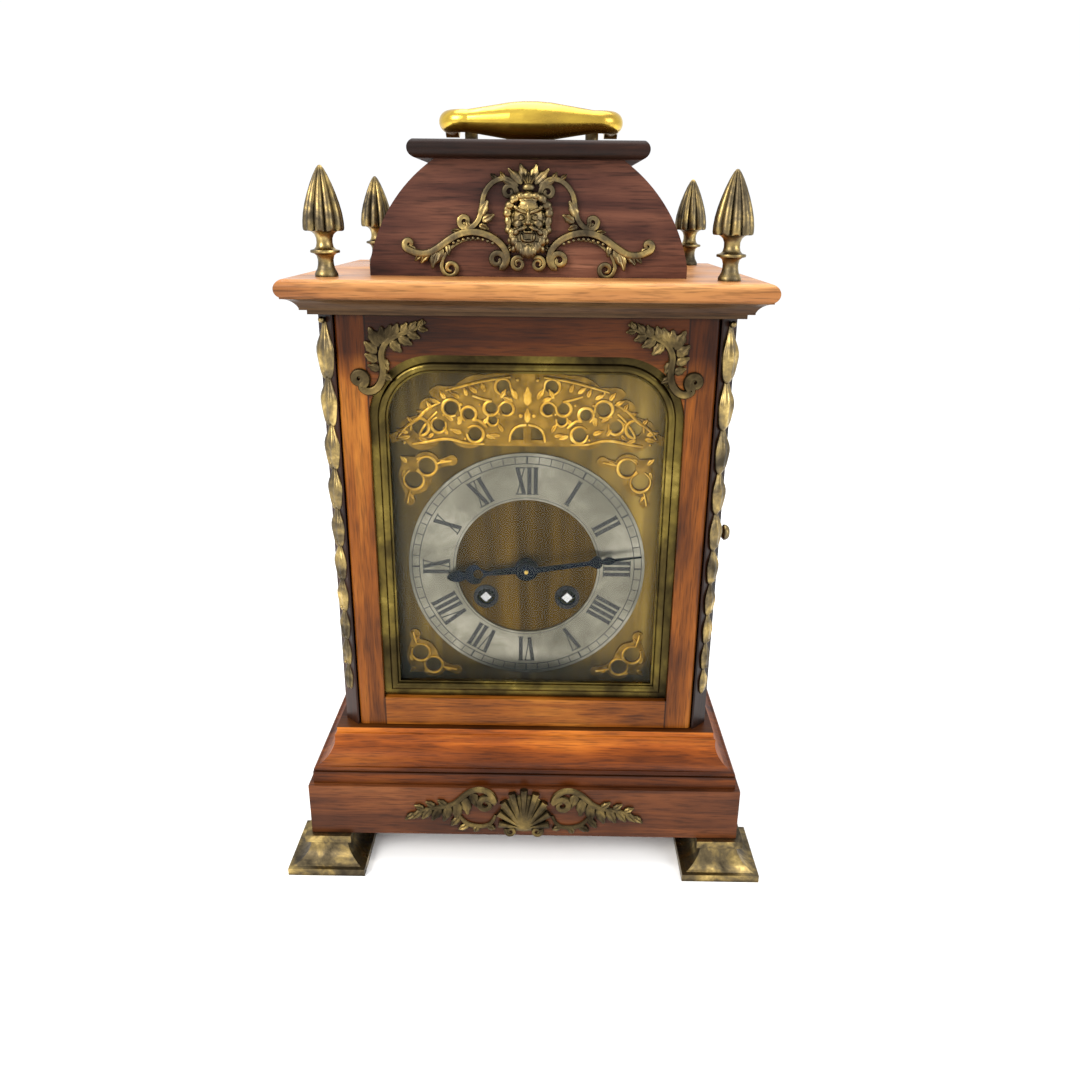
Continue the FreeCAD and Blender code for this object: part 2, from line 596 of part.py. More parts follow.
outline(swell,
        [(f"-{GRIP_X}", 0), (GRIP_X, 0), (GRIP_X, "handle_rod - 0.4"), (12, "grip_radius - 0.6"),
         (4, "grip_radius"),
                (-4, "grip_radius"), (-12, "grip_radius - 0.6"), (f"-{GRIP_X}", "handle_rod - 0.4")])
turn(grip, swell, "X_Axis")
place(grip, 0, "-handle_drop")
eyes = [rod(f"handle_eye_{sign}", "handle_rod + 1", f"{sign} * {ARM_X} - 4", f"{sign} * {ARM_X} + 4",
            along="X")
        for sign in (-1, 1)]
bores = [rod(f"handle_bore_{sign}", "handle_pin + play", f"{sign} * {ARM_X} - 12", f"{sign} * {ARM_X} + 12",
             along="X")
         for sign in (-1, 1)]
handle = cut("handle", fuse("handle_whole", bail, grip, *eyes), *bores)
subpart(place(handle, z=HANDLE_Z), "handle")

# Finials: turned base and collar under a fluted cone
finials = []
for side, across in (("left", -1), ("right", 1)):
    for end, along in (("front", -1), ("rear", 1)):
        name = f"finial_{end}_{side}"
        stem = new_body(f"{name}_stem")
        profile = sketch_on(stem, f"{name}_profile", "XZ_Plane")
        outline(profile, [(0, 0), (7.2, 0), (7.2, 3), (5.4, 5), (4.8, 8), (4.8, 10), (8, 13.4), (9.8, 14.7),
                          (8, 16), (6.3, 18), (6.3, 21), (11.3, 24.6), (11.3, 27), (0, 27)])
        turn(stem, profile)
        cone = []
        count = int(size("finial_flutes"))
        for level, radius in ((26.5, 11.2), (32, 11.4), (40, 9.2), (49, 5), (size("finial_high"), 0.8)):
            ring = [Vector(radius * (1 - 0.16 * (i % 2)) * math.cos(math.pi * i / count),
                           radius * (1 - 0.16 * (i % 2)) * math.sin(math.pi * i / count), level)
                    for i in range(2 * count)]
            cone.append(Part.makePolygon(ring + ring[:1]))
        flutes = feature(f"{name}_cone", Part.makeLoft(cone, True, True))
        finial = place(fuse(name, stem, flutes), f"{across} * (case_wide / 2 - finial_side)",
                       f"{along} * (case_deep / 2 - finial_front)", CORNICE_TOP)
        finials.append(finial)
subpart(group("finials", finials), "finials")

# Front door: wooden frame, brass bezel and glass
def opening(inset):
    """The door's opening, read up its right side: square below, round above."""
    corner = f"(arch_radius - {inset})"
    return [(f"{OPEN_SIDE} - {inset}", f"{OPEN_FOOT} + {inset}"),
            (f"{OPEN_SIDE} - {inset}", f"{OPEN_TOP} - arch_radius", corner),
            (f"{OPEN_SIDE} - arch_radius", f"{OPEN_TOP} - {inset}")]


leaf = front_slab("door_leaf", mirrored([(f"{DOOR_SIDE} - door_gap / 2", f"{CASE_FOOT} + door_gap / 2"),
                                         (f"{DOOR_SIDE} - door_gap / 2", f"{CASE_TOP} - door_gap / 2")]),
                  FRONT, "door_thick")
light = sketch_on(leaf, "door_light", "XZ_Plane", f"-({FRONT})")
outline(light, mirrored(opening(0)))
pocket(leaf, light, "door_thick + 1")
round_edges(leaf, "door_round", "pin_inset - 0.2",
            lambda box: box.ZLength > 200 and box.YMax < size(FRONT) + 0.1 and abs(box.XMin) > 100)
door_bores = [rod("door_bore_low", "pin_radius + play", f"{CASE_FOOT} - 1", f"{CASE_FOOT} + pin_long + 1",
                  PIN_X,
                  along="Z", across=PIN_Y),
              rod("door_bore_high", "pin_radius + play", f"{CASE_TOP} - pin_long - 1", f"{CASE_TOP} + 1",
                  PIN_X,
                  along="Z", across=PIN_Y)]
subpart(cut("door_frame", leaf, *door_bores), "door_frame")

BEZEL_FACE = f"({FRONT} + bezel_recess + bead_wide / 2)"
bezel = front_slab("bezel", mirrored(opening("fit")), BEZEL_FACE, "bezel_plate")
sight = sketch_on(bezel, "bezel_sight", "XZ_Plane", f"-({BEZEL_FACE})")
outline(sight, mirrored(opening("bezel_wide")))
pocket(bezel, sight, "bezel_plate + 1")
bead = sketch_on(bezel, "bezel_bead", "XZ_Plane", f"-({BEZEL_FACE})")
outline(bead, mirrored(opening("(bezel_wide - 1 - bead_wide)")))
outline(bead, mirrored(opening("(bezel_wide - 1)")))
pad(bezel, bead, "bead_wide / 2")
round_edges(bezel, "bezel_bead_round", "bead_wide / 2 - 0.1", lambda box: box.YMax < size(BEZEL_FACE) - 1.5)
subpart(bezel, "bezel")
GLASS_FACE = f"({BEZEL_FACE} + bezel_plate)"
glass = front_slab("door_glass", mirrored(opening("fit")), GLASS_FACE, "glass_thick")
subpart(glass, "door_glass")

# Catch of the front door: a turning finger behind a lipped plate on the door's free stile
FINGER_X = "(case_wide / 2 - board_thick - 6.5)"
CATCH_Z = f"({KNOB_Z} - 9.5)"
DOOR_BACK = f"({FRONT} + door_thick)"
plate = box("catch_base", (f"{FINGER_X} - 3", f"{FINGER_X} + 4"), (DOOR_BACK, f"{DOOR_BACK} + 1.5"),
            (f"{CATCH_Z} - 8", f"{CATCH_Z} + 0.5"))
tongue = box("catch_tongue", (f"{FINGER_X} - 2", f"{FINGER_X} + 3.6"),
             (f"{DOOR_BACK} + 1", f"{KNOB_Y} - 4.5"),
             (f"{CATCH_Z} - 1.5", CATCH_Z))
lip = box("catch_lip", (f"{FINGER_X} - 2", f"{FINGER_X} + 3.6"), (f"{KNOB_Y} - 6", f"{KNOB_Y} - 4.5"),
          (f"{CATCH_Z} - 1", f"{CATCH_Z} + 6"))
subpart(fuse("door_catch", plate, tongue, lip), "door_catch")
knob = new_body("knob_turned")
KNOB_PROFILE = [(0, 0), ("knob_shaft", 0), ("knob_shaft", "board_thick + 4.4"), (4, "board_thick + 4.4"),
                (4, "board_thick + 6"), (2.6, "board_thick + 7.5"), (2.6, "board_thick + 8.5"),
                ("knob_radius", "board_thick + 10.5", 3.4),
                ("knob_radius - 2", "board_thick + 4 + knob_out"),
                (0, "board_thick + 4 + knob_out")]
outline(sketch_on(knob, "knob_profile", "XZ_Plane"), KNOB_PROFILE)
turn(knob, knob.Group[0])
lying = doc.addObject("Part::Compound", "knob_lying")
lying.Links = [knob]
lying.Placement = Placement(Vector(), Rotation(Vector(0, 1, 0), 90))
place(lying, "case_wide / 2 - board_thick - 4", KNOB_Y, KNOB_Z)
finger_boss = box("finger_boss", (FINGER_X, "case_wide / 2 - board_thick - 0.3"), (-4, 4), (-2, 3))
finger_bar = box("finger_bar", (FINGER_X, f"{FINGER_X} + 3"), (-11.5, -3), (-2, 3))
tip = box("finger_tip", (FINGER_X, f"{FINGER_X} + 3"), (-11.5, -7.5), (-7, 0))
finger = doc.addObject("Part::Compound", "finger")
finger.Links = [fuse("finger_level", finger_boss, finger_bar, tip)]
finger.Placement = Placement(Vector(), Rotation(Vector(-1, 0, 0), size("finger_up")))
bind(finger, "Placement.Rotation.Angle", "finger_up")
place(finger, 0, KNOB_Y, KNOB_Z)
subpart(fuse("side_knob", lying, finger), "side_knob")

# Dial plate with its feet, and the small angles that hold it to the case sides
dial = front_slab("dial_sheet", mirrored([("dial_wide / 2", f"{CASE_FOOT} + dial_foot"),
                                          ("dial_wide / 2", f"{CASE_FOOT} + dial_foot + dial_high - 34", 34),
                                          ("dial_wide / 2 - 34", f"{CASE_FOOT} + dial_foot + dial_high")]),
                  DIAL_FACE, "dial_thick")
dial_holes = [rod("dial_hub_hole", "hour_pipe + 0.6", f"{DIAL_FACE} - 1", f"{DIAL_BACK} + 1", 0, HANDS_HIGH)]
for sign in (-1, 1):
    dial_holes.append(rod(f"dial_winding_hole_{sign}", "collet_inner + 1.2", f"{DIAL_FACE} - 1",
                          f"{DIAL_BACK} + 1",
                          f"{sign} * winding_apart / 2", WINDING_HIGH))
dial_feet = [rod(f"dial_foot_{sign}_{row}", 2.5, f"{DIAL_BACK} - 0.5", PLATE_FRONT,
                 f"{sign} * (plate_wide / 2 - 8)",
            f"{CASE_FOOT} + plate_low + {row} * plate_high")
             for sign in (-1, 1) for row in (0.12, 0.88)]
subpart(fuse("dial_plate", cut("dial_bored", dial, *dial_holes), *dial_feet), "dial_plate")
angles = []
for sign, side in ((-1, "left"), (1, "right")):
    for row, level in (("low", 0.2), ("high", 0.75)):
        low_z = f"{CASE_FOOT} + {level} * case_high"
        wall, inner = "(case_wide / 2 - board_thick)", "(dial_wide / 2 - 6)"
        leg_x = (f"{wall} - 2", wall) if sign > 0 else (f"-{wall}", f"-{wall} + 2")
        arm_x = (inner, wall) if sign > 0 else (f"-{wall}", f"-{inner}")
        leg = box(f"angle_leg_{side}_{row}", leg_x, (DIAL_BACK, f"{DIAL_BACK} + 16"),
                  (low_z, f"{low_z} + 14"))
        arm = box(f"angle_arm_{side}_{row}", arm_x, (DIAL_BACK, f"{DIAL_BACK} + 2"),
                  (low_z, f"{low_z} + 14"))
        angles.append(fuse(f"angle_{side}_{row}", leg, arm))
subpart(group("dial_brackets", angles), "dial_brackets")

ring = new_body("chapter_ring")
band = sketch_on(ring, "chapter_band", "XZ_Plane", f"-({DIAL_FACE})")
circles(band, [(0, HANDS_HIGH, "ring_outer"), (0, HANDS_HIGH, "ring_inner")])
pad(ring, band, "ring_thick")
subpart(ring, "chapter_ring")

collets = []
for sign in (-1, 1):
    washer = rod(f"collet_{sign}", "collet_outer", f"{DIAL_FACE} - 0.8", DIAL_FACE,
                 f"{sign} * winding_apart / 2",
                 WINDING_HIGH)
    sleeve = rod(f"collet_sleeve_{sign}", "collet_inner + 1.2", DIAL_FACE, DIAL_BACK,
                 f"{sign} * winding_apart / 2", WINDING_HIGH)
    through = rod(f"collet_through_{sign}", "collet_inner", f"{DIAL_FACE} - 2", f"{DIAL_BACK} + 1",
                  f"{sign} * winding_apart / 2", WINDING_HIGH)
    collets.append(cut(f"collet_ring_{sign}", fuse(f"collet_solid_{sign}", washer, sleeve), through))
subpart(group("winding_collets", collets), "winding_collets")

# Crest fret over the chapter ring: a leafy outline with pierced eyes
def over(height):
    """A level above the hand arbor."""
    return f"{HANDS_HIGH} + {height}"


CREST = [(29, over(79.4), 14), (45.7, over(82)), (49.2, over(84.5)), (53, over(82), 13), (71, over(78.5)),
         (75, over(82.3)), (82.2, over(80.4)), (84, over(85.3)), (77, over(88.5), 8), (73.7, over(95.5)),
         (65.7, over(97.8)), (64.3, over(104.5), 7), (56.4, over(108.2)), (58.7, over(111.8), 7),
         (50, over(115.2)), (43.1, over(115.5), 20), (25.2, over(122.3), 110)]
EYES = [(45.8, 102.3, 4), (35.1, 98.8, 3.2), (21.8, 102.6, 3.4), (12.4, 102.1, 3.4), (20.7, 95.3, 2.5),
        (31.6, 86.6, 4), (64.8, 90.5, 4.4), (53.3, 91.8, 3.6), (14.5, 115.8, 4)]
crest = front_slab("crest_fret", mirrored(CREST), f"{DIAL_FACE} - fret_thick", "fret_thick",
                   [(sign * x, over(z), radius) for x, z, radius in EYES for sign in (-1, 1)])
squares = sketch_on(crest, "crest_squares", "XZ_Plane", f"-({DIAL_FACE} - fret_thick)")
for sign in (-1, 1):
    outline(squares, [(sign * 2.4, over(83.3)), (sign * 9.4, over(83.3)), (sign * 9.4, over(90.5)),
                      (sign * 2.4, over(90.5))])
pocket(crest, squares, "fret_thick + 1")
subpart(crest, "crest_fret")

# Spandrels: each a corner leaf with two eyes and a screw lug at either end
SPANDREL = [(0, 0), (-8.5, -0.5, 8.6), (-23, -2), (-28.4, -0.2, 3.5), (-34.4, -2.6, 3.5), (-29.6, -5.4),
            (-24.5, -7, -12), (-18, -16.5), (-15, -21, 10), (-8, -24), (-6.3, -25.4, 3.5),
            (-5.4, -31.2, 3.5),
            (-0.3, -28), (-1.6, -24), (1.2, -17, 12), (0, -6)]
spandrels = []
for level, flip in ((over(72.3), 1), (over(-76), -1)):
    for sign in (-1, 1):
        points = [(f"{sign} * (spandrel_out + {point[0]})", f"{level} + {flip * point[1]}")
                  + ((point[2] * sign * flip,) if len(point) == 3 else ()) for point in SPANDREL]
        eyes = [(f"{sign} * (spandrel_out + {x})", f"{level} + {flip * z}", radius)
                for x, z, radius in ((-15.6, -6.1, 5), (-7.2, -14.9, 5.2))]
        spandrels.append(front_slab(f"spandrel_{len(spandrels) + 1}", points, f"{DIAL_FACE} - fret_thick",
                                    "fret_thick", eyes))
subpart(group("spandrels", spandrels), "spandrels")


# Hands, drawn pointing up and then turned clockwise to their time
def hand(name, points, hub, bore, turn_text, layer, holes=()):
    """A flat hand on its hub."""
    body = new_body(f"{name}_blade")
    drawing = sketch_on(body, f"{name}_outline", "XZ_Plane")
    outline(drawing, mirrored(points))
    circles(drawing, holes)
    pad(body, drawing, "hand_thick", back=True)
    boss = rod(f"{name}_boss", hub, -0.6, "hand_thick + 0.6")
    bored = rod(f"{name}_bore", bore, -5, 5)
    piece = cut(f"{name}_piece", fuse(f"{name}_whole", body, boss), bored)
    turned = doc.addObject("Part::Compound", name)
    turned.Links = [piece]
    turned.Placement = Placement(Vector(), Rotation(Vector(0, 1, 0), size(turn_text)))
    bind(turned, "Placement.Rotation.Angle", turn_text)
    return subpart(place(turned, 0, f"{DIAL_FACE} - {layer}", HANDS_HIGH), name)


hand("hour_hand",
     [(2.4, 4), (1.9, "hour_long - 30", -7), (5.6, "hour_long - 21", 6), (2.2, "hour_long - 12"),
                   (3.6, "hour_long - 9", 9), (0.5, "hour_long")], 7.5, "hour_pipe", "hour_turn", 5,
     [(0, "hour_long - 20", 3.2)])
hand("minute_hand",
     [(1.9, 3), (1.4, "minute_long - 33"), (3.4, "minute_long - 30", 3), (1.2, "minute_long - 25"),
                     (2.4, "minute_long - 22", 5), (0.9, "minute_long - 17"), (0.4, "minute_long")],
     5.6, "cannon_pipe", "minute_turn", 8.4)


# Wheelwork. Every wheel turns about a line along Y; its teeth are flat-sided and leave generous backlash
def teeth(count, module, turn_degrees, bore=0):
    """The face of a toothed wheel in the XZ plane, one tooth centred on turn_degrees from +X towards +Z."""
    pitch = 2 * math.pi / count
    start = math.radians(turn_degrees)
    radius = count * module / 2
    tip, root = radius + TOOTH_UP * module, radius - TOOTH_DOWN * module
    points = []
    for i in range(count):
        for level, offset in ((root, -TOOTH_FOOT), (tip, -TOOTH_TIP), (tip, TOOTH_TIP), (root, TOOTH_FOOT)):
            angle = start + (i + offset) * pitch
            points.append(Vector(level * math.cos(angle), 0, level * math.sin(angle)))
    return Part.Face(Part.makePolygon(points + points[:1]))


def disc(radius, start, end):
    """A round disc or arbor along Y."""
    return Part.makeCylinder(radius, end - start, Vector(0, start, 0), Vector(0, 1, 0))


def prism(face, start, end):
    """A face in the XZ plane thickened from one depth to another."""
    face.translate(Vector(0, start, 0))
    return face.extrude(Vector(0, end - start, 0))


def crossed(wheel, rim, hub, start, end, arms=4):
    """The wheel with its web cut away between arms."""
    for i in range(arms):
        middle = 2 * math.pi * (i + 0.5) / arms
        half = math.pi / arms
        corners = []
        for radius, spread in ((hub, half - 1.1 / hub), (rim, half - 1.1 / rim)):
            for side in ((-1, 1) if radius == hub else (1, 0.34, -0.34, -1)):
                angle = middle + side * spread
                corners.append(Vector(radius * math.cos(angle), 0, radius * math.sin(angle)))
        window = Part.Face(Part.makePolygon(corners + corners[:1]))
        wheel = wheel.cut(prism(window, start - 1, end + 1))
    return wheel


TOOTH_UP = 0.75
TOOTH_DOWN = 1.15
TOOTH_FOOT = 0.26
TOOTH_TIP = 0.12
INSIDE_FRONT = size(PLATE_FRONT) + size("plate_thick")
INSIDE_BACK = size(PLATE_BACK)
OUTSIDE_BACK = INSIDE_BACK + size("plate_thick")
PLAY = size("play")


def beyond(first, second, reach, other, side):
    """The point at one distance from each of two arbors, on the side asked for."""
    line = second - first
    gap = line.Length
    run = (reach ** 2 - other ** 2 + gap ** 2) / (2 * gap)
    rise = math.sqrt(reach ** 2 - run ** 2)
    along = Vector(line).normalize()
    return first + along * run + Vector(-along.z, 0, along.x) * rise * side


def centre_distance(wheel, pinion, module):
    """Between the arbors of a wheel and its pinion."""
    return (wheel + pinion) * module / 2


GREAT, GREAT_PINION, GREAT_MODULE = 60, 10, 0.77
SECOND, SECOND_PINION, SECOND_MODULE = 60, 10, 0.6
CENTRE, CENTRE_PINION, CENTRE_MODULE = 72, 6, 0.5
THIRD, THIRD_PINION, THIRD_MODULE = 60, 6, 0.55
PIN, PIN_PINION, PIN_MODULE = 64, 8, 0.5
GATHERING, GATHERING_PINION, GATHERING_MODULE = 56, 7, 0.45
CANNON, MINUTE, MINUTE_PINION, HOUR = 12, 36, 10, 40
CANNON_MODULE, HOUR_MODULE = 0.625, 0.6
hands_at = Vector(0, 0, size(HANDS_HIGH))
winding_side = size("winding_apart") / 2
AXLES = {
    "centre": hands_at,
    "barrel": Vector(winding_side, 0, size(WINDING_HIGH)),
    "strike_barrel": Vector(-winding_side, 0, size(WINDING_HIGH)),
}
great_gap = centre_distance(GREAT, GREAT_PINION, GREAT_MODULE)
second_gap = centre_distance(SECOND, SECOND_PINION, SECOND_MODULE)
AXLES["intermediate"] = beyond(AXLES["barrel"], hands_at, great_gap, second_gap, -1)
AXLES["strike_second"] = beyond(AXLES["strike_barrel"], hands_at, great_gap, second_gap, 1)
third_gap = centre_distance(CENTRE, CENTRE_PINION, CENTRE_MODULE)
escape_gap = centre_distance(THIRD, THIRD_PINION, THIRD_MODULE)
THIRD_ASIDE = -6
AXLES["third"] = hands_at + Vector(THIRD_ASIDE, 0, math.sqrt(third_gap ** 2 - THIRD_ASIDE ** 2))
AXLES["escape"] = Vector(0, 0, AXLES["third"].z + math.sqrt(escape_gap ** 2 - THIRD_ASIDE ** 2))


def off(start, gap, degrees):
    """A point at a distance and a direction, from +X towards +Z."""
    return start + Vector(gap * math.cos(math.radians(degrees)), 0, gap * math.sin(math.radians(degrees)))


AXLES["pin"] = off(AXLES["strike_second"], second_gap, 150)
AXLES["gathering"] = off(AXLES["pin"], centre_distance(PIN, PIN_PINION, PIN_MODULE), 75)
AXLES["fly"] = off(AXLES["gathering"], centre_distance(GATHERING, GATHERING_PINION, GATHERING_MODULE), 60)
AXLES["minute"] = off(hands_at, centre_distance(MINUTE, CANNON, CANNON_MODULE), 0)
ESCAPE_TIP, ESCAPE_COUNT = 14, 42
ANCHOR_OVER = ESCAPE_TIP * math.sqrt(2)
AXLES["anchor"] = AXLES["escape"] + Vector(0, 0, ANCHOR_OVER)
AXLES["hammer"] = Vector(-56, 0, size(HANDS_HIGH) - 6)


def in_mesh(leader, follower, leader_turn, leader_count, follower_count):
    """The turn that puts a gap of the follower where a tooth of the leader points, and the reverse."""
    line = AXLES[follower] - AXLES[leader]
    facing = math.degrees(math.atan2(line.z, line.x))
    share = ((facing - leader_turn) / (360 / leader_count)) % 1
    return facing + 180 + (share - 0.5) * 360 / follower_count


def arbor(radius, pivot=1.0, front=INSIDE_FRONT, back=INSIDE_BACK, front_long=None, back_long=None):
    """An arbor between the plates, with a pivot at each end."""
    thick = size("plate_thick")
    reach_front = thick if front_long is None else front_long
    reach_back = thick if back_long is None else back_long
    shaft = disc(radius, front + 0.3, back - 0.3)
    return shaft.fuse([disc(pivot, front - reach_front, front + 1),
                       disc(pivot, back - 1, back + reach_back)])


def train_wheel(name, axle, wheel, pinion, web=True, arbor_radius=1.4, extra=()):
    """A wheel and its pinion on one arbor: (count, module, turn, start, end) for each."""
    count, module, turned, start, end = wheel
    rim = count * module / 2 - TOOTH_DOWN * module - 1.6
    plate = prism(teeth(count, module, turned), start, end)
    if web:
        plate = crossed(plate, rim, 4, start, end)
    leaves, leaf_module, leaf_turn, leaf_start, leaf_end = pinion
    leaf = prism(teeth(leaves, leaf_module, leaf_turn), leaf_start, leaf_end)
    whole = plate.fuse([leaf, arbor(arbor_radius), *extra]).removeSplitter()
    spot = AXLES[axle]
    piece = doc.addObject("Part::Feature", name)
    piece.Shape = whole
    piece.Placement = Placement(spot, Rotation())
    return subpart(piece, name)


GREAT_LAYER = (INSIDE_BACK - 14.5, INSIDE_BACK - 12)
GOING_LAYER = (INSIDE_FRONT + 1, INSIDE_FRONT + 2.6)
STRIKE_LAYER = (INSIDE_FRONT + 3.8, INSIDE_FRONT + 5.2)
REAR_LAYER = (INSIDE_BACK - 8.5, INSIDE_BACK - 6.5)


def around(layer, more=1):
    """A pinion's length, a little longer than the wheel it meets."""
    return layer[0] - more, layer[1] + more


# Going train
second_turn = in_mesh("barrel", "intermediate", 0, GREAT, GREAT_PINION)
train_wheel("intermediate_wheel", "intermediate", (SECOND, SECOND_MODULE, 0, *GOING_LAYER),
            (GREAT_PINION, GREAT_MODULE, second_turn, *around(GREAT_LAYER)))
centre_turn = in_mesh("intermediate", "centre", 0, SECOND, SECOND_PINION)
centre_pinion = (SECOND_PINION, SECOND_MODULE, centre_turn, *around(GOING_LAYER, 0.6))
HAND_ARBOR = 1.2
centre_nose = disc(HAND_ARBOR, size(DIAL_FACE) - 10, INSIDE_FRONT)
train_wheel("centre_wheel", "centre", (CENTRE, CENTRE_MODULE, 0, *REAR_LAYER), centre_pinion,
            extra=[centre_nose])
third_turn = in_mesh("centre", "third", 0, CENTRE, CENTRE_PINION)
THIRD_LAYER = (INSIDE_FRONT + 22, INSIDE_FRONT + 23.5)
train_wheel("third_wheel", "third", (THIRD, THIRD_MODULE, 0, *THIRD_LAYER),
            (CENTRE_PINION, CENTRE_MODULE, third_turn, *around(REAR_LAYER)), arbor_radius=0.9)
escape_turn = in_mesh("third", "escape", 0, THIRD, THIRD_PINION)
ESCAPE_LAYER = (INSIDE_FRONT + 38, INSIDE_FRONT + 39.4)
escape_points = []
for i in range(ESCAPE_COUNT):
    for level, offset in ((ESCAPE_TIP, 0), (ESCAPE_TIP - 1.7, 0.12), (ESCAPE_TIP - 1.7, 0.7)):
        angle = 2 * math.pi * (i + offset) / ESCAPE_COUNT
        escape_points.append(Vector(level * math.cos(angle), 0, level * math.sin(angle)))
escape_disc = prism(Part.Face(Part.makePolygon(escape_points + escape_points[:1])), *ESCAPE_LAYER)
escape_disc = crossed(escape_disc, ESCAPE_TIP - 3, 3, *ESCAPE_LAYER)
escape_leaf = prism(teeth(THIRD_PINION, THIRD_MODULE, escape_turn), *around(THIRD_LAYER))
escape_hub = disc(3, ESCAPE_LAYER[0] - 1, ESCAPE_LAYER[1] + 1)
escape = doc.addObject("Part::Feature", "escape_wheel")
escape.Shape = escape_disc.fuse([escape_leaf, escape_hub, arbor(0.9)]).removeSplitter()
escape.Placement = Placement(AXLES["escape"], Rotation())
subpart(escape, "escape_wheel")

# Barrels, each on its own winding arbor, with the ratchet in front of the front plate
WINDER = 3
DRUM_RADIUS = 20
for name, axle in (("going_barrel", "barrel"), ("strike_barrel", "strike_barrel")):
    turned = 0 if axle == "barrel" else 180
    drum = disc(DRUM_RADIUS, STRIKE_LAYER[1] + 1.3, GREAT_LAYER[0])
    great = prism(teeth(GREAT, GREAT_MODULE, turned), *GREAT_LAYER)
    bore = disc(WINDER + PLAY, INSIDE_FRONT, INSIDE_BACK)
    barrel = doc.addObject("Part::Feature", name)
    barrel.Shape = drum.fuse(great).cut(bore).removeSplitter()
    barrel.Placement = Placement(AXLES[axle], Rotation())
    subpart(barrel, name)
RATCHET_LAYER = (size(PLATE_FRONT) - 3.2, size(PLATE_FRONT) - 1.2)
ratchet_points = []
for i in range(16):
    for level, offset in ((8.6, 0), (7, 0.1)):
        angle = 2 * math.pi * (i + offset) / 16
        ratchet_points.append(Vector(level * math.cos(angle), 0, level * math.sin(angle)))
for name, axle in (("going_winder", "barrel"), ("strike_winder", "strike_barrel")):
    half = size("square_side") / 2
    square_start = size(DIAL_FACE) - 1
    square = Part.makeBox(2 * half, RATCHET_LAYER[0] - square_start, 2 * half,
                          Vector(-half, square_start, -half))
    square.rotate(Vector(), Vector(0, 1, 0), 45)
    ratchet = prism(Part.Face(Part.makePolygon(ratchet_points + ratchet_points[:1])), *RATCHET_LAYER)
    shaft = disc(WINDER, size(PLATE_FRONT) - 1.2, INSIDE_BACK - 0.3)
    rear = disc(2, INSIDE_BACK - 1, OUTSIDE_BACK)
    winder = doc.addObject("Part::Feature", name)
    winder.Shape = square.fuse([ratchet, shaft, rear]).removeSplitter()
    winder.Placement = Placement(AXLES[axle], Rotation())
    subpart(winder, name)

# Motion work between the dial and the front plate
HOUR_LAYER = (size(DIAL_BACK) + 5, size(DIAL_BACK) + 6.5)
MINUTE_LAYER = (size(PLATE_FRONT) - 3.4, size(PLATE_FRONT) - 1.9)
minute_turn = in_mesh("centre", "minute", 0, CANNON, MINUTE)
hour_turn = in_mesh("minute", "centre", 0, MINUTE_PINION, HOUR)
cannon = prism(teeth(CANNON, CANNON_MODULE, 0), *around(MINUTE_LAYER, 0.8))
cannon = cannon.fuse(disc(size("cannon_pipe"), size(DIAL_FACE) - 9, MINUTE_LAYER[0]))
cannon = cannon.cut(disc(HAND_ARBOR + PLAY, size(DIAL_FACE) - 20, size(PLATE_FRONT)))
hour = crossed(prism(teeth(HOUR, HOUR_MODULE, hour_turn), *HOUR_LAYER), 9.6, 5.6, *HOUR_LAYER)
hour = hour.fuse(disc(size("hour_pipe"), size(DIAL_FACE) - 5.6, HOUR_LAYER[1] + 1))
hour = hour.cut(disc(size("cannon_pipe") + PLAY, size(DIAL_FACE) - 20, size(PLATE_FRONT)))
minute = prism(teeth(MINUTE, CANNON_MODULE, minute_turn), *MINUTE_LAYER)
minute = minute.fuse(prism(teeth(MINUTE_PINION, HOUR_MODULE, 0), *around(HOUR_LAYER, 0.6)))
minute = minute.fuse(disc(2, HOUR_LAYER[1], MINUTE_LAYER[0]))
STUD = 1.1
minute = minute.cut(disc(STUD + PLAY, size(DIAL_FACE), size(PLATE_FRONT)))
for name, axle, shape in (("cannon_pinion", "centre", cannon), ("hour_wheel", "centre", hour),
                          ("minute_wheel", "minute", minute)):
    piece = doc.addObject("Part::Feature", name)
    piece.Shape = shape.removeSplitter()
    piece.Placement = Placement(AXLES[axle], Rotation())
    subpart(piece, name)

# Strike train
strike_turn = in_mesh("strike_barrel", "strike_second", 180, GREAT, GREAT_PINION)
train_wheel("strike_second_wheel", "strike_second", (SECOND, SECOND_MODULE, 0, *STRIKE_LAYER),
            (GREAT_PINION, GREAT_MODULE, strike_turn, *around(GREAT_LAYER)))
pin_turn = in_mesh("strike_second", "pin", 0, SECOND, SECOND_PINION)
LIFTING_PINS = 8
pins = [disc(0.8, REAR_LAYER[1] - 0.5, REAR_LAYER[1] + 3) for i in range(LIFTING_PINS)]
for i, pin in enumerate(pins):
    angle = 2 * math.pi * i / LIFTING_PINS
    pin.translate(Vector(14.2 * math.cos(angle), 0, 14.2 * math.sin(angle)))
train_wheel("pin_wheel", "pin", (PIN, PIN_MODULE, 0, *REAR_LAYER),
            (SECOND_PINION, SECOND_MODULE, pin_turn, *around(STRIKE_LAYER, 0.5)), extra=pins)
gathering_turn = in_mesh("pin", "gathering", 0, PIN, PIN_PINION)
GATHERING_LAYER = (INSIDE_FRONT + 30, INSIDE_FRONT + 31.5)
train_wheel("gathering_wheel", "gathering", (GATHERING, GATHERING_MODULE, 0, *GATHERING_LAYER),
            (PIN_PINION, PIN_MODULE, gathering_turn, *around(REAR_LAYER)), arbor_radius=0.9)
fly_turn = in_mesh("gathering", "fly", 0, GATHERING, GATHERING_PINION)
fly = prism(teeth(GATHERING_PINION, GATHERING_MODULE, fly_turn), *around(GATHERING_LAYER, 1.5))
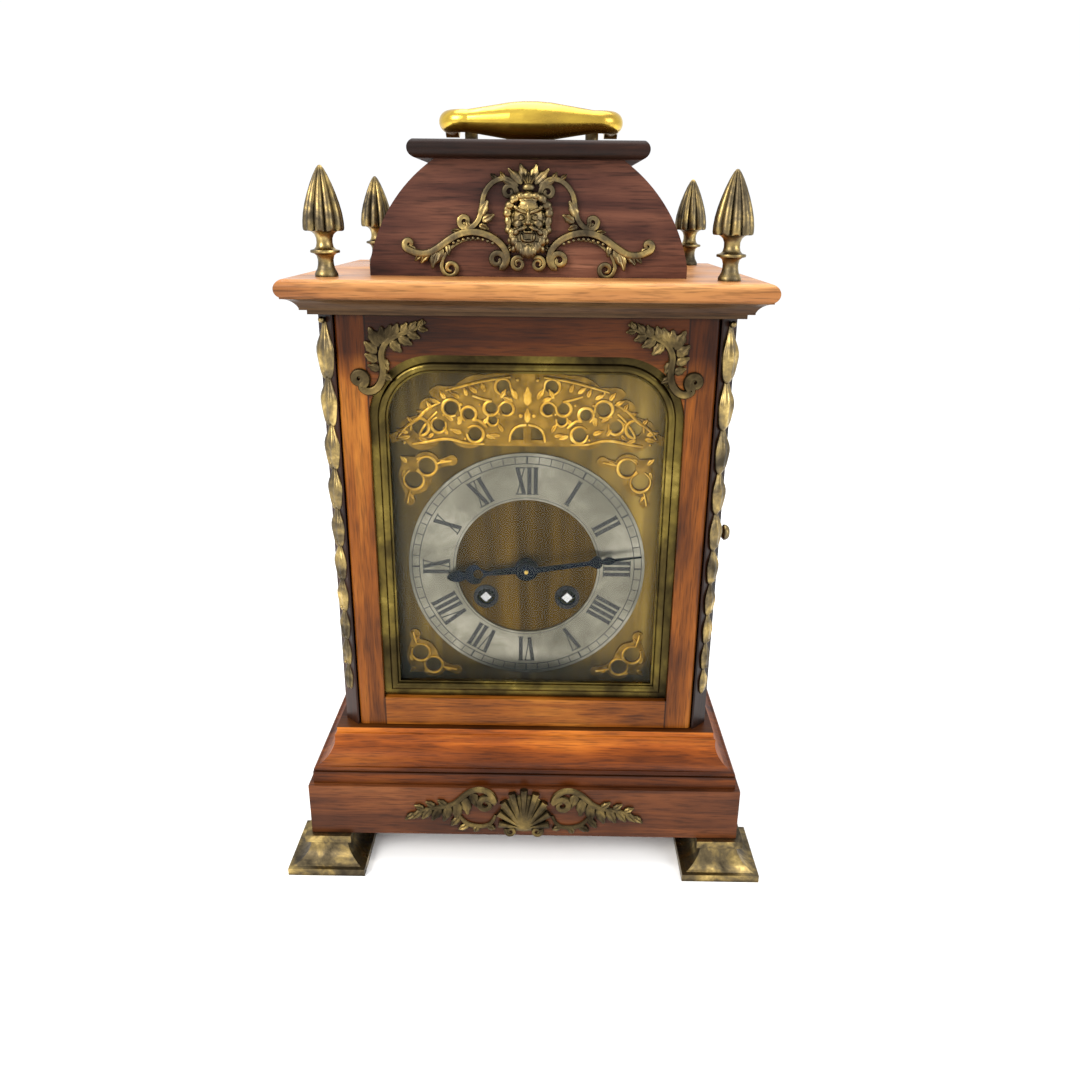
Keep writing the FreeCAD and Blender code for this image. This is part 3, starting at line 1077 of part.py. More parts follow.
fly = fly.fuse([arbor(0.9), disc(2, INSIDE_FRONT + 8, INSIDE_FRONT + 24),
                Part.makeBox(18, 14, 0.8, Vector(-9, INSIDE_FRONT + 9, -0.4))]).removeSplitter()
vane = doc.addObject("Part::Feature", "fly")
vane.Shape = fly
vane.Placement = Placement(AXLES["fly"], Rotation())
subpart(vane, "fly")

# Anchor with its crutch, the back cock and the pendulum
COCK_FAR = OUTSIDE_BACK + 12
SWING_Y = OUTSIDE_BACK + 18
ROD = 1.2
PALLET_CLEAR = 1.2
reach = (ESCAPE_TIP + PALLET_CLEAR) / math.sqrt(2)
arm = [Vector(0, 0, 3.4), Vector(reach + 2, 0, reach - ANCHOR_OVER + 4),
       Vector(reach + 3, 0, reach - ANCHOR_OVER),
       Vector(reach, 0, reach - ANCHOR_OVER), Vector(reach - 0.6, 0, reach - ANCHOR_OVER + 3.5),
       Vector(0, 0, -1.6)]
pallets = arm + [Vector(-point.x, 0, point.z) for point in reversed(arm[1:-1])]
anchor = prism(Part.Face(Part.makePolygon(pallets + pallets[:1])), ESCAPE_LAYER[0] - 0.4,
               ESCAPE_LAYER[1] + 0.4)
CRUTCH_LONG = 42
crutch = [Part.makeBox(3, 1.5, CRUTCH_LONG, Vector(-1.5, OUTSIDE_BACK + 4, -CRUTCH_LONG)),
          Part.makeBox(6, 1.5, 4, Vector(-3, OUTSIDE_BACK + 4, -CRUTCH_LONG))]
for side in (-1, 1):
    prong_x = side * (ROD + 0.9) - 0.6
    crutch.append(Part.makeBox(1.2, SWING_Y + 3 - OUTSIDE_BACK - 4, 3,
                               Vector(prong_x, OUTSIDE_BACK + 4, -CRUTCH_LONG)))
anchor = anchor.fuse([disc(1, INSIDE_FRONT - 3, COCK_FAR - 1),
                      disc(2.2, OUTSIDE_BACK + 3.5, OUTSIDE_BACK + 6.5), *crutch])
piece = doc.addObject("Part::Feature", "anchor")
piece.Shape = anchor.removeSplitter()
piece.Placement = Placement(AXLES["anchor"], Rotation())
subpart(piece, "anchor")

cock = Part.makeBox(44, 3, 9, Vector(-22, COCK_FAR - 3, -4))
for side in (-1, 1):
    cock = cock.fuse(Part.makeBox(6, COCK_FAR - OUTSIDE_BACK, 9, Vector(side * 19 - 3, OUTSIDE_BACK, -4)))
cock = cock.cut(disc(1 + PLAY, COCK_FAR - 4, COCK_FAR - 0.8)).fuse(disc(1, COCK_FAR - 0.5, SWING_Y + 2.4))
cock = cock.fuse(disc(2.2, SWING_Y + 1.9, SWING_Y + 2.9))
piece = doc.addObject("Part::Feature", "back_cock")
piece.Shape = cock.removeSplitter()
piece.Placement = Placement(AXLES["anchor"], Rotation())
subpart(piece, "back_cock")

BOB_DOWN = 126.8
BOB_RADIUS = 17
BOB_HALF = 5
lens = [Vector(BOB_RADIUS * share, SWING_Y + BOB_HALF * rise, 0)
        for share, rise in ((0, -1), (0.5, -0.85), (0.85, -0.45), (1, 0), (0.85, 0.45), (0.5, 0.85), (0, 1))]
bob = Part.Face(Part.makePolygon(lens + lens[:1])).revolve(Vector(0, 0, 0), Vector(0, 1, 0), 360)
bob.translate(Vector(0, 0, -BOB_DOWN))
eye = disc(2.8, SWING_Y - 1.5, SWING_Y + 1.5)
blade = Part.makeBox(5, 0.6, 12, Vector(-2.5, SWING_Y - 0.3, -14))
block = Part.makeBox(6, 3, 4, Vector(-3, SWING_Y - 1.5, -17))
rod_down = Part.makeCylinder(ROD, BOB_DOWN + BOB_RADIUS + 6 - 16,
                             Vector(0, SWING_Y, -BOB_DOWN - BOB_RADIUS - 6))
nut = Part.makeCylinder(3, 3, Vector(0, SWING_Y, -BOB_DOWN - BOB_RADIUS - 4))
swinging = bob.fuse([eye, blade, block, rod_down, nut]).cut(disc(1 + PLAY, SWING_Y - 5, SWING_Y + 5))
piece = doc.addObject("Part::Feature", "pendulum")
piece.Shape = swinging.removeSplitter()
piece.Placement = Placement(AXLES["anchor"], Rotation())
subpart(piece, "pendulum")

# Hammer, coil gong and its stand
GONG_Y = OUTSIDE_BACK + 45
HAMMER_ARM = 40
HAMMER_TAIL = 11
HAMMER_FACE = 5.5
HAMMER_CLEAR = 0.9
GONG_WIRE = 1.5
COIL = 6
HALF_TURNS = 5
hammer = disc(1.5, INSIDE_BACK - 1, GONG_Y + 3).fuse([
    disc(1.4, INSIDE_FRONT + 0.3, INSIDE_BACK), disc(1, INSIDE_FRONT - 3, INSIDE_FRONT + 1),
    disc(3, GONG_Y - 3, GONG_Y + 3),
    Part.makeBox(3, 3, HAMMER_ARM, Vector(-1.5, GONG_Y - 1.5, -HAMMER_ARM)),
    Part.makeCylinder(5, 13, Vector(HAMMER_FACE - 13, GONG_Y, -HAMMER_ARM), Vector(1, 0, 0)),
    Part.makeBox(2.4, 1.5, HAMMER_TAIL, Vector(-1.2, REAR_LAYER[1] + 1, 0))])
piece = doc.addObject("Part::Feature", "hammer")
piece.Shape = hammer.removeSplitter()
piece.Placement = Placement(AXLES["hammer"], Rotation())
subpart(piece, "hammer")

GONG_X = AXLES["hammer"].x + HAMMER_FACE + HAMMER_CLEAR + GONG_WIRE + HALF_TURNS * COIL + 4
GONG_Z = AXLES["hammer"].z - HAMMER_ARM
INNER = 4 + COIL
runs = [Part.LineSegment(Vector(INNER, 0, -4), Vector(INNER, 0, 0)).toShape()]
radius = INNER
here = INNER
for half_turn in range(HALF_TURNS):
    sign = 1 if half_turn % 2 == 0 else -1
    middle = here - sign * radius
    runs.append(Part.Arc(Vector(here, 0, 0), Vector(middle, 0, sign * radius),
                         Vector(middle - sign * radius, 0, 0)).toShape())
    here = middle - sign * radius
    radius += COIL
runs.append(Part.LineSegment(Vector(here, 0, 0), Vector(here, 0, -4)).toShape())
route = Part.Wire(runs)
coil_section = Part.Wire(Part.Circle(Vector(INNER, 0, -4), Vector(0, 0, 1), GONG_WIRE).toShape())
coil = route.makePipeShell([coil_section], True, False)
print(f"gong: least gap between turns {COIL * 2 - 2 * GONG_WIRE} mm,"
      f" volume {coil.Volume:.1f} against {math.pi * GONG_WIRE ** 2 * route.Length:.1f}")
piece = doc.addObject("Part::Feature", "gong")
piece.Shape = coil
piece.Placement = Placement(Vector(GONG_X, GONG_Y, GONG_Z), Rotation())
subpart(piece, "gong")
FLOOR_Z = size(BASE_FOOT) + size("board_thick")
stand = Part.makeBox(8, 10, 7, Vector(INNER - 5, -4, -11))
stand = stand.fuse([Part.makeBox(12, 6, GONG_Z - 4 - FLOOR_Z, Vector(INNER - 6, 5, FLOOR_Z - GONG_Z)),
                    Part.makeBox(12, 9, 6, Vector(INNER - 6, 2, -12)),
                    Part.makeBox(40, 26, 8, Vector(INNER - 20, -12, FLOOR_Z - GONG_Z))])
piece = doc.addObject("Part::Feature", "gong_stand")
piece.Shape = stand.removeSplitter()
piece.Placement = Placement(Vector(GONG_X, GONG_Y, GONG_Z), Rotation())
subpart(piece, "gong_stand")

# Movement plates, bored for every pivot; the back plate carries the pillars
PLATE_SIDE = "(plate_wide / 2)"
PLATE_LOW = f"({CASE_FOOT} + plate_low)"
PLATE_HIGH = f"({CASE_FOOT} + plate_low + plate_high)"


def movement_plate(name, face, holes):
    """A brass plate with rounded corners and pivot holes."""
    body = front_slab(name, mirrored([(f"{PLATE_SIDE} - 6", PLATE_LOW, 6), (PLATE_SIDE, f"{PLATE_LOW} + 6"),
                                      (PLATE_SIDE, f"{PLATE_HIGH} - 6", 6),
                                      (f"{PLATE_SIDE} - 6", PLATE_HIGH)]),
                      face, "plate_thick", holes)
    return body


PIVOTED = ("intermediate", "third", "escape", "strike_second", "pin", "gathering", "fly")
front_holes = [(AXLES[axle].x, AXLES[axle].z, 1 + PLAY) for axle in PIVOTED + ("anchor", "hammer")]
front_holes.append((0, AXLES["centre"].z, HAND_ARBOR + PLAY))
back_holes = [(AXLES[axle].x, AXLES[axle].z, 1 + PLAY) for axle in PIVOTED + ("centre",)]
back_holes += [(0, AXLES["anchor"].z, 3), (AXLES["hammer"].x, AXLES["hammer"].z, 1.5 + PLAY)]
for axle in ("barrel", "strike_barrel"):
    front_holes.append((AXLES[axle].x, AXLES[axle].z, WINDER + PLAY))
    back_holes.append((AXLES[axle].x, AXLES[axle].z, 2 + PLAY))
stud = rod("minute_stud", STUD, f"{PLATE_FRONT} - 12", f"{PLATE_FRONT} + 1", AXLES["minute"].x,
           AXLES["minute"].z)
clicks = []
for sign in (-1, 1):
    x = f"{sign} * (winding_apart / 2 + 12)"
    clicks.append(rod(f"click_screw_{sign}", 1.8, f"{PLATE_FRONT} - 4", f"{PLATE_FRONT} + 1", x,
                      f"{WINDING_HIGH} - 6"))
    clicks.append(box(f"click_{sign}", (f"{x} - 1.8", f"{x} + 1.8"),
                      (f"{PLATE_FRONT} - 3", f"{PLATE_FRONT} - 1.4"),
                      (f"{WINDING_HIGH} - 8", f"{WINDING_HIGH} + 6")))
subpart(fuse("front_plate", movement_plate("front_sheet", PLATE_FRONT, front_holes), stud, *clicks),
        "front_plate")
pillars = [rod(f"pillar_{sign}_{row}", 3.2, f"{PLATE_FRONT} + plate_thick", f"{PLATE_BACK} + 0.5",
               f"{sign} * ({PLATE_SIDE} - 6)", f"{PLATE_LOW} + {spot}")
           for sign in (-1, 1) for row, spot in (("low", "6"), ("high", "plate_high - 6"))]
subpart(fuse("back_plate", movement_plate("back_sheet", PLATE_BACK, back_holes), *pillars), "back_plate")

# Cast mount on the pediment: scrolls round a mask, as a plate with a raised head
def above(height):
    """A level above the cornice."""
    return f"{CORNICE_TOP} + {height}"


SCROLLS = [(7, above(0.5)), (10, above(9), -8), (15, above(2.5), 9), (24, above(9), -30),
           (34, above(23), -30),
           (36.5, above(4), 10), (50, above(4), -14), (62, above(11), 6), (71, above(17), 4.6),
           (64, above(22), -18),
           (49, above(14), -12), (39, above(21), -30), (40.5, above(31), 5), (33, above(36), -12),
           (26, above(46), 14), (15, above(54), -9), (12.5, above(49), -8), (8.5, above(57), 10)]
mask_plate = front_slab("mask_plate", mirrored(SCROLLS), f"{PEDIMENT_FACE} - mount_thick", "mount_thick")
HEAD_HIGH = above(30)
head = new_body("mask_head")
head_profile = sketch_on(head, "mask_head_profile", "XY_Plane")
outline(head_profile, [(0, 0), (14, 0), (13, -4), (9.6, -7.4), (4, -9.5), (0, -9.5)])
turn(head, head_profile, "Y_Axis")
place(head, 0, f"{PEDIMENT_FACE} - mount_thick + 0.5", HEAD_HIGH)
jaw = rod("mask_jaw", 8, f"{PEDIMENT_FACE} - mount_thick - 5", f"{PEDIMENT_FACE} - mount_thick + 0.5", 0,
          above(20))
subpart(fuse("mask_mount", mask_plate, head, jaw), "mask_mount")

# Cast mounts in the upper corners of the door
CORNER = [(95, -45), (102.5, -44, 22), (104, -22), (103.5, -9, 7), (96, -3.5), (84, -6, -16), (71, -2.6, 8),
          (59, -5, 5), (60, -13), (73, -14.5, -26), (86, -24, -30)]
corner_mounts = []
for sign in (-1, 1):
    points = [(f"{sign} * (mount_out + {x[0] - 104})", f"{CASE_TOP} + ({x[1]})")
              + ((x[2] * sign,) if len(x) == 3 else ()) for x in CORNER]
    corner_mounts.append(front_slab(f"corner_mount_{'left' if sign < 0 else 'right'}", points,
                                    f"{FRONT} - mount_thick", "mount_thick"))
subpart(group("door_mounts", corner_mounts), "door_mounts")

# Shell and leaf scrolls on the front of the plinth
SHELL = [(5, 2.5), (11, 2, 8), (22, 6, -30), (34, 9, -40), (50, 7, -24), (62, 11, 7), (72, 12, 6), (79, 19),
         (70, 22, -14), (56, 18, -20), (40, 21, 16), (26, 30, 10), (17, 31, -9), (12, 35, 15)]
shell_face = f"{FRONT} - block_out"
shell_plate = front_slab("shell_plate",
                         mirrored([(x[0], f"{BLOCK_FOOT} + {x[1]}") + tuple(x[2:]) for x in SHELL]),
                         f"{shell_face} - mount_thick", "mount_thick")
SHELL_RIBS = 9
RIB_LONG = 15
ribs = [disc(5, -2, 0.5)]
for i in range(SHELL_RIBS):
    angle = math.radians(90 + 19 * (i - SHELL_RIBS // 2))
    tip = Vector(RIB_LONG * math.cos(angle), 0, RIB_LONG * math.sin(angle))
    across = Vector(-tip.z, 0, tip.x).normalize() * 1.9
    rib = [tip * 0.2 + across * 0.3, tip + across, tip * 1.1, tip - across, tip * 0.2 - across * 0.3]
    ribs.append(prism(Part.Face(Part.makePolygon(rib + rib[:1])), -2, 0.5))
shell_fan = feature("shell_fan", ribs[0].fuse(ribs[1:]), 0, f"{shell_face} - mount_thick",
                    f"{BLOCK_FOOT} + 20")
subpart(fuse("shell_mount", shell_plate, shell_fan), "shell_mount")

# Husk drops on the canted posts: ten husks a side, shrinking downwards, with a bead over each
HUSKS = 10
FIRST_STEP = 29
STEP_LESS = 1.3
drops = []
for sign in (-1, 1):
    outward = Vector(sign, -1, 0).normalize()
    sideways = Vector(1, sign, 0).normalize()
    cant_middle = Vector(sign * (size("case_wide") - size("cant_wide")) / 2,
                         size(FRONT) + size("cant_wide") / 2, 0)
    top = size(CASE_TOP) - 4
    for i in range(HUSKS):
        long = FIRST_STEP - STEP_LESS * i
        wide = 6.2 - 0.33 * i
        shape_points = [(0.22, 0.13), (0.75, 0.28), (1, 0.55), (0.72, 0.8), (0.45, 0.68), (0.12, 0.98)]
        leaf = [cant_middle + sideways * (wide * u) + Vector(0, 0, top - long * v) for u, v in shape_points]
        leaf += [cant_middle - sideways * (wide * u) + Vector(0, 0, top - long * v)
                 for u, v in reversed(shape_points)]
        face = Part.Face(Part.makePolygon(leaf + leaf[:1]))
        drops.append(face.extrude(outward * size("husk_out") * (1 - 0.04 * i)))
        bead_at = cant_middle + Vector(0, 0, top - long * 0.06)
        bead = [bead_at + (sideways * math.cos(math.pi * k / 3)
                           + Vector(0, 0, math.sin(math.pi * k / 3))) * wide * 0.3
                for k in range(6)]
        drops.append(Part.Face(Part.makePolygon(bead + bead[:1])).extrude(outward * 2.4))
        top -= long
husks = doc.addObject("Part::Feature", "husk_drops")
husks.Shape = Part.makeCompound(drops)
subpart(husks, "husk_drops")

doc.recompute()
for thing in doc.Objects:
    if "Invalid" in thing.State or "Error" in thing.State:
        raise ValueError(f"{thing.Name} failed: {thing.State}")
os.makedirs("parts", exist_ok=True)
for name, thing in subparts.items():
    if thing.Shape.isNull() or not thing.Shape.isValid():
        raise ValueError(f"{name} has no valid shape")
    thing.Shape.exportStep(f"parts/{name}.step")
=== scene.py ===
"""Looks of a spring-driven bracket clock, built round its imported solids. Metres, +Z up, the dial faces -Y."""
import math

import bmesh
import bpy
from mathutils import Matrix, Vector


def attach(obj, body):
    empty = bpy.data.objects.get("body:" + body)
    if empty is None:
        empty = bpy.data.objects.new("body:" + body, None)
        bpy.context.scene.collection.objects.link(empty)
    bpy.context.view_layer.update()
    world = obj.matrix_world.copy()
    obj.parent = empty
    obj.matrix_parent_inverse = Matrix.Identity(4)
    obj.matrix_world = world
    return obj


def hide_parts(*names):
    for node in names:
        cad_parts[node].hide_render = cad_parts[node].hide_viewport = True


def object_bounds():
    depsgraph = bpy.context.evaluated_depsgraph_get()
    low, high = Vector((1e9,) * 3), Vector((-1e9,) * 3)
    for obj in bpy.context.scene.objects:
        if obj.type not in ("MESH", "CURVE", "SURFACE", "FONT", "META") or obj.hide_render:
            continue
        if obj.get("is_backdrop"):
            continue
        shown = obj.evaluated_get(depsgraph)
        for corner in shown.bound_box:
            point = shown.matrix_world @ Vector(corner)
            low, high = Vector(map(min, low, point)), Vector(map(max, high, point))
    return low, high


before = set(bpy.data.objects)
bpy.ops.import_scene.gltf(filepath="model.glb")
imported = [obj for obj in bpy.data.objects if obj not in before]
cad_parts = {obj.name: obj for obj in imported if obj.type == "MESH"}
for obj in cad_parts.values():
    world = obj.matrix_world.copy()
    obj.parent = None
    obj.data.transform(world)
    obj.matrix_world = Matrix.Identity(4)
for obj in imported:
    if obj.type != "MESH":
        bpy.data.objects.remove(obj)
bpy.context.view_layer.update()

# Camera: stands a little above the clock and looks down on it, as in the photograph. Its place, its tilt in
# degrees and its focal length in pixels were solved from the straight edges of the case
PHOTO_SIDE = 1080
FOCAL_PIXELS = 898.9387
SENSOR = 36
PITCH, ROLL, YAW = 20.0205, 0.5944, -0.4575
EYE = (0.012587, -0.6045, 0.409166)
camera = bpy.data.objects.new("camera", bpy.data.cameras.new("camera"))
bpy.context.scene.collection.objects.link(camera)
camera.data.sensor_width = SENSOR
camera.data.lens = SENSOR * FOCAL_PIXELS / PHOTO_SIDE
pitch, roll, yaw = math.radians(PITCH), math.radians(ROLL), math.radians(YAW)
ahead = Vector((math.sin(yaw) * math.cos(pitch), math.cos(yaw) * math.cos(pitch), -math.sin(pitch)))
level = Vector((math.cos(yaw), -math.sin(yaw), 0))
down = ahead.cross(level)
right = level * math.cos(roll) - down * math.sin(roll)
up = -(level * math.sin(roll) + down * math.cos(roll))
turned = Matrix((right, up, -ahead)).transposed().to_4x4()
camera.matrix_world = Matrix.Translation(EYE) @ turned
bpy.context.scene.camera = camera

# Studio: soft light from a nearly white sky and three large panels, with a pale floor. The plain view
# transform keeps the backdrop white, as it is in the photograph
SKY = (0.97, 0.98, 1, 1)
SKY_STRENGTH = 1.05
FLOOR_HALF = 4
world = bpy.data.worlds.new("studio")
world.use_nodes = True
world.node_tree.nodes["Background"].inputs["Color"].default_value = SKY
world.node_tree.nodes["Background"].inputs["Strength"].default_value = SKY_STRENGTH
bpy.context.scene.world = world
bpy.context.scene.view_settings.view_transform = "Standard"
for name, place, aim, wide, watts, tint in (
        ("window_left", (-1.3, -1.5, 1.35), (0, 0, 0.22), 1.1, 46, (1, 0.97, 0.93)),
        ("window_right", (1.6, -1.1, 0.9), (0, 0, 0.2), 0.9, 18, (0.95, 0.97, 1)),
        ("overhead", (0.1, 0.2, 1.9), (0, 0, 0.3), 1.4, 26, (1, 1, 1))):
    panel = bpy.data.lights.new(name, "AREA")
    panel.size = wide
    panel.energy = watts
    panel.color = tint
    lamp = bpy.data.objects.new(name, panel)
    lamp.location = place
    lamp.rotation_euler = (Vector(aim) - Vector(place)).to_track_quat("-Z", "Y").to_euler()
    bpy.context.scene.collection.objects.link(lamp)


def sheet_colour(text):
    """An sRGB hex colour as the linear colour that the shaders use."""
    channels = [int(text[i:i + 2], 16) / 255 for i in (0, 2, 4)]
    return tuple(c / 12.92 if c <= 0.04045 else ((c + 0.055) / 1.055) ** 2.4 for c in channels) + (1,)


def finish_of(name):
    """A new material: its tree and its surface shader."""
    material = bpy.data.materials.new(name)
    material.use_nodes = True
    return material, material.node_tree, material.node_tree.nodes["Principled BSDF"]


floor = bpy.data.objects.new("floor", bpy.data.meshes.new("floor"))
spread = bmesh.new()
bmesh.ops.create_grid(spread, x_segments=2, y_segments=2, size=FLOOR_HALF)
spread.to_mesh(floor.data)
spread.free()
bpy.context.scene.collection.objects.link(floor)
pale, tree, surface = finish_of("pale_floor")
surface.inputs["Base Color"].default_value = sheet_colour("FCFCFB")
surface.inputs["Roughness"].default_value = 0.75
floor.data.materials.append(pale)
floor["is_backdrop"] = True

# Case woodwork: French-polished walnut, brown in the stiles, nearly black with old polish in the top.
# Boards are cut with the grain along their length, and mouldings are mitred at the corners. The eye gets a
# streaky brown with dark pores, drawn 1 mm wide so that they show, under a worn polish
GRAIN_STRETCH = {"x": (0.07, 1, 1), "y": (1, 0.07, 1), "z": (1, 1, 0.07)}
PORE_SHADE = 0.52
SIDEWAYS = 0.6
STILE_EDGE = 0.0908


def add(tree, kind, settings=None, links=None, stops=(), **values):
    """A node in a material's tree, with its settings, its links, its input values by name or number, and the
    (position, hex colour) stops of its colour ramp."""
    node = tree.nodes.new(kind)
    for key, value in (settings or {}).items():
        setattr(node, key, value)
    for key, value in values.items():
        socket = int(key[1:]) if key[0] == "i" and key[1:].isdigit() else key.replace("_", " ")
        node.inputs[socket].default_value = value
    for key, source in (links or {}).items():
        tree.links.new(source, node.inputs[key])
    if stops:
        band = node.color_ramp.elements
        band.remove(band[-1])
        band[0].position = stops[0][0]
        band[0].color = sheet_colour(stops[0][1])
    for position, colour in stops[1:]:
        band.new(position).color = sheet_colour(colour)
    return node


def walnut(name, colours, grain, shine=0.34, lines=70.0):
    """Polished walnut: grain runs along x, z, round the mouldings ("mitred"), or as in a door frame."""
    material, tree, surface = finish_of(name)
    coords = add(tree, "ShaderNodeTexCoord")
    along = add(tree, "ShaderNodeMapping", links={"Vector": coords.outputs["Object"]},
                Scale=GRAIN_STRETCH.get(grain, GRAIN_STRETCH["x"]))
    vector = along.outputs["Vector"]
    if grain in ("mitred", "frame"):
        source = "Normal" if grain == "mitred" else "Object"
        parts = add(tree, "ShaderNodeSeparateXYZ", links={"Vector": coords.outputs[source]})
        size = add(tree, "ShaderNodeMath", {"operation": "ABSOLUTE"}, {0: parts.outputs["X"]})
        aside = add(tree, "ShaderNodeMath", {"operation": "GREATER_THAN"}, {0: size.outputs[0]},
                    i1=SIDEWAYS if grain == "mitred" else STILE_EDGE)
        other = add(tree, "ShaderNodeMapping", links={"Vector": coords.outputs["Object"]},
                    Scale=GRAIN_STRETCH["y" if grain == "mitred" else "z"], Location=(0.3, 0.1, 0.2))
        chosen = add(tree, "ShaderNodeMix", {"data_type": "VECTOR"},
                     {0: aside.outputs[0], 4: vector, 5: other.outputs["Vector"]})
        vector = chosen.outputs[1]
    figure = add(tree, "ShaderNodeTexNoise", links={"Vector": vector},
                 Scale=lines, Detail=6.0, Roughness=0.62, Distortion=0.7)
    cloud = add(tree, "ShaderNodeTexNoise", links={"Vector": coords.outputs["Object"]},
                Scale=13.0, Detail=3.0)
    blend = add(tree, "ShaderNodeMix", {"data_type": "FLOAT"},
                {2: figure.outputs["Fac"], 3: cloud.outputs["Fac"]}, i0=0.36)
    ramp = add(tree, "ShaderNodeValToRGB", links={"Fac": blend.outputs[0]}, stops=colours)
    pores = add(tree, "ShaderNodeTexNoise", links={"Vector": vector}, Scale=900.0, Detail=2.0)
    dark = add(tree, "ShaderNodeMapRange", links={"Value": pores.outputs["Fac"]},
               From_Min=0.30, From_Max=0.52, To_Min=PORE_SHADE, To_Max=1.0)
    tint = add(tree, "ShaderNodeMix", {"data_type": "RGBA", "blend_type": "MULTIPLY"},
               {6: ramp.outputs["Color"], 7: dark.outputs["Result"]}, i0=1.0)
    tree.links.new(tint.outputs[2], surface.inputs["Base Color"])
    rough = add(tree, "ShaderNodeMapRange", links={"Value": cloud.outputs["Fac"]},
                From_Min=0.3, From_Max=0.7, To_Min=shine - 0.08, To_Max=shine + 0.16)
    tree.links.new(rough.outputs["Result"], surface.inputs["Roughness"])
    bump = add(tree, "ShaderNodeBump", links={"Height": pores.outputs["Fac"]},
               Strength=0.12, Distance=0.0004)
    tree.links.new(bump.outputs["Normal"], surface.inputs["Normal"])
    surface.inputs["Specular IOR Level"].default_value = 0.14
    surface.inputs["Coat Weight"].default_value = 0.04
    surface.inputs["Coat Roughness"].default_value = 0.22
    return material, tree, surface, tint


def dress(material, *nodes):
    """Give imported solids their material."""
    for node in nodes:
        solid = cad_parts[node]
        solid.data.materials.clear()
        solid.data.materials.append(material)


BROWN = ((0.32, "1C0B02"), (0.43, "4A2406"), (0.54, "743E0E"), (0.67, "9A5F20"))
DARK = ((0.34, "0C0503"), (0.48, "1E0D06"), (0.60, "30170A"), (0.72, "482612"))
RED = ((0.34, "1E0D06"), (0.47, "43220F"), (0.58, "5E3318"), (0.70, "794825"))
SIDE = ((0.32, "1C0B04"), (0.46, "40200A"), (0.58, "5A2E11"), (0.72, "74431C"))
REDDISH = ((0.32, "180B08"), (0.46, "3C2018"), (0.58, "5E392A"), (0.74, "94644C"))
dress(walnut("walnut_board_side", SIDE, "z")[0],
      "case_side_left", "case_side_right", "rear_door", "rear_frame")
dress(walnut("walnut_post", DARK, "z")[0], "front_post_left", "front_post_right")
dress(walnut("walnut_cap", DARK, "x", shine=0.42)[0], "cap")
dress(walnut("walnut_pediment", REDDISH, "x", shine=0.46, lines=45.0)[0],
      "pediment_front", "pediment_rear", "pediment_shell")
dress(walnut("walnut_plinth", RED, "mitred")[0], "plinth", "case_floor")

# Door frame: full-height walnut stiles with the rails tenoned between them, hung on pivots at its left. The
# top rail is drawn much darker, from a little below it upwards, and a thin dark line shows where each rail
# meets a stile
TOP_RAIL = (0.318, 0.334)
SEAM = (0.0002, 0.0007)
door_wood, tree, surface, tint = walnut("walnut_door", BROWN, "frame")
place = add(tree, "ShaderNodeTexCoord")
spot = add(tree, "ShaderNodeSeparateXYZ", links={"Vector": place.outputs["Object"]})
# Darker towards the top: from a little below the top rail upwards the wood is multiplied by a dark brown
high = add(tree, "ShaderNodeMapRange", links={"Value": spot.outputs["Z"]},
           From_Min=TOP_RAIL[0], From_Max=TOP_RAIL[1], To_Min=0.0, To_Max=0.8)
darker_top = add(tree, "ShaderNodeMix", {"data_type": "RGBA", "blend_type": "MULTIPLY"},
          {0: high.outputs["Result"], 6: tint.outputs[2]})
darker_top.inputs[7].default_value = sheet_colour("5B3A33")
wide = add(tree, "ShaderNodeMath", {"operation": "ABSOLUTE"}, {0: spot.outputs["X"]})
off = add(tree, "ShaderNodeMath", {"operation": "SUBTRACT"}, {0: wide.outputs[0]}, i1=STILE_EDGE)
near = add(tree, "ShaderNodeMath", {"operation": "ABSOLUTE"}, {0: off.outputs[0]})
seam = add(tree, "ShaderNodeMapRange", links={"Value": near.outputs[0]},
           From_Min=SEAM[0], From_Max=SEAM[1], To_Min=0.25, To_Max=1.0)
joined = add(tree, "ShaderNodeMix", {"data_type": "RGBA", "blend_type": "MULTIPLY"},
             {6: darker_top.outputs[2], 7: seam.outputs["Result"]}, i0=1.0)
tree.links.new(joined.outputs[2], surface.inputs["Base Color"])
dress(door_wood, "door_frame")

# Cornice and base moulding: lengths of planed walnut moulding, mitred and glued round the case. Their tone
# is banded by height as painted light: pale bands are painted highlight on the nose and where the profile faces
# up, with some rubbed wear on the nose, and dark bands are painted shade under the nose and in the quirks
PALE = ((0.30, "6A4528"), (0.46, "9A7048"), (0.60, "B8905F"), (0.74, "D0B080"))


def light_and_shade_bands(name, colours, levels):
    """Moulding wood whose tone follows the profile as painted light and shade: (level, hex colour) from the
    bottom up.
    """
    material, tree, surface, tint = walnut(name, colours, "mitred")
    place = add(tree, "ShaderNodeTexCoord")
    spot = add(tree, "ShaderNodeSeparateXYZ", links={"Vector": place.outputs["Object"]})
    low, high = levels[0][0], levels[-1][0]
    rise = add(tree, "ShaderNodeMapRange", links={"Value": spot.outputs["Z"]},
               From_Min=low, From_Max=high, To_Min=0.0, To_Max=1.0)
    band = add(tree, "ShaderNodeValToRGB", links={"Fac": rise.outputs["Result"]},
               stops=[((z - low) / (high - low), colour) for z, colour in levels])
    # Overlay the height bands on the grain: painted highlight and painted shade
    toned = add(tree, "ShaderNodeMix", {"data_type": "RGBA", "blend_type": "OVERLAY"},
               {6: tint.outputs[2], 7: band.outputs["Color"]}, i0=0.85)
    tree.links.new(toned.outputs[2], surface.inputs["Base Color"])
    return material


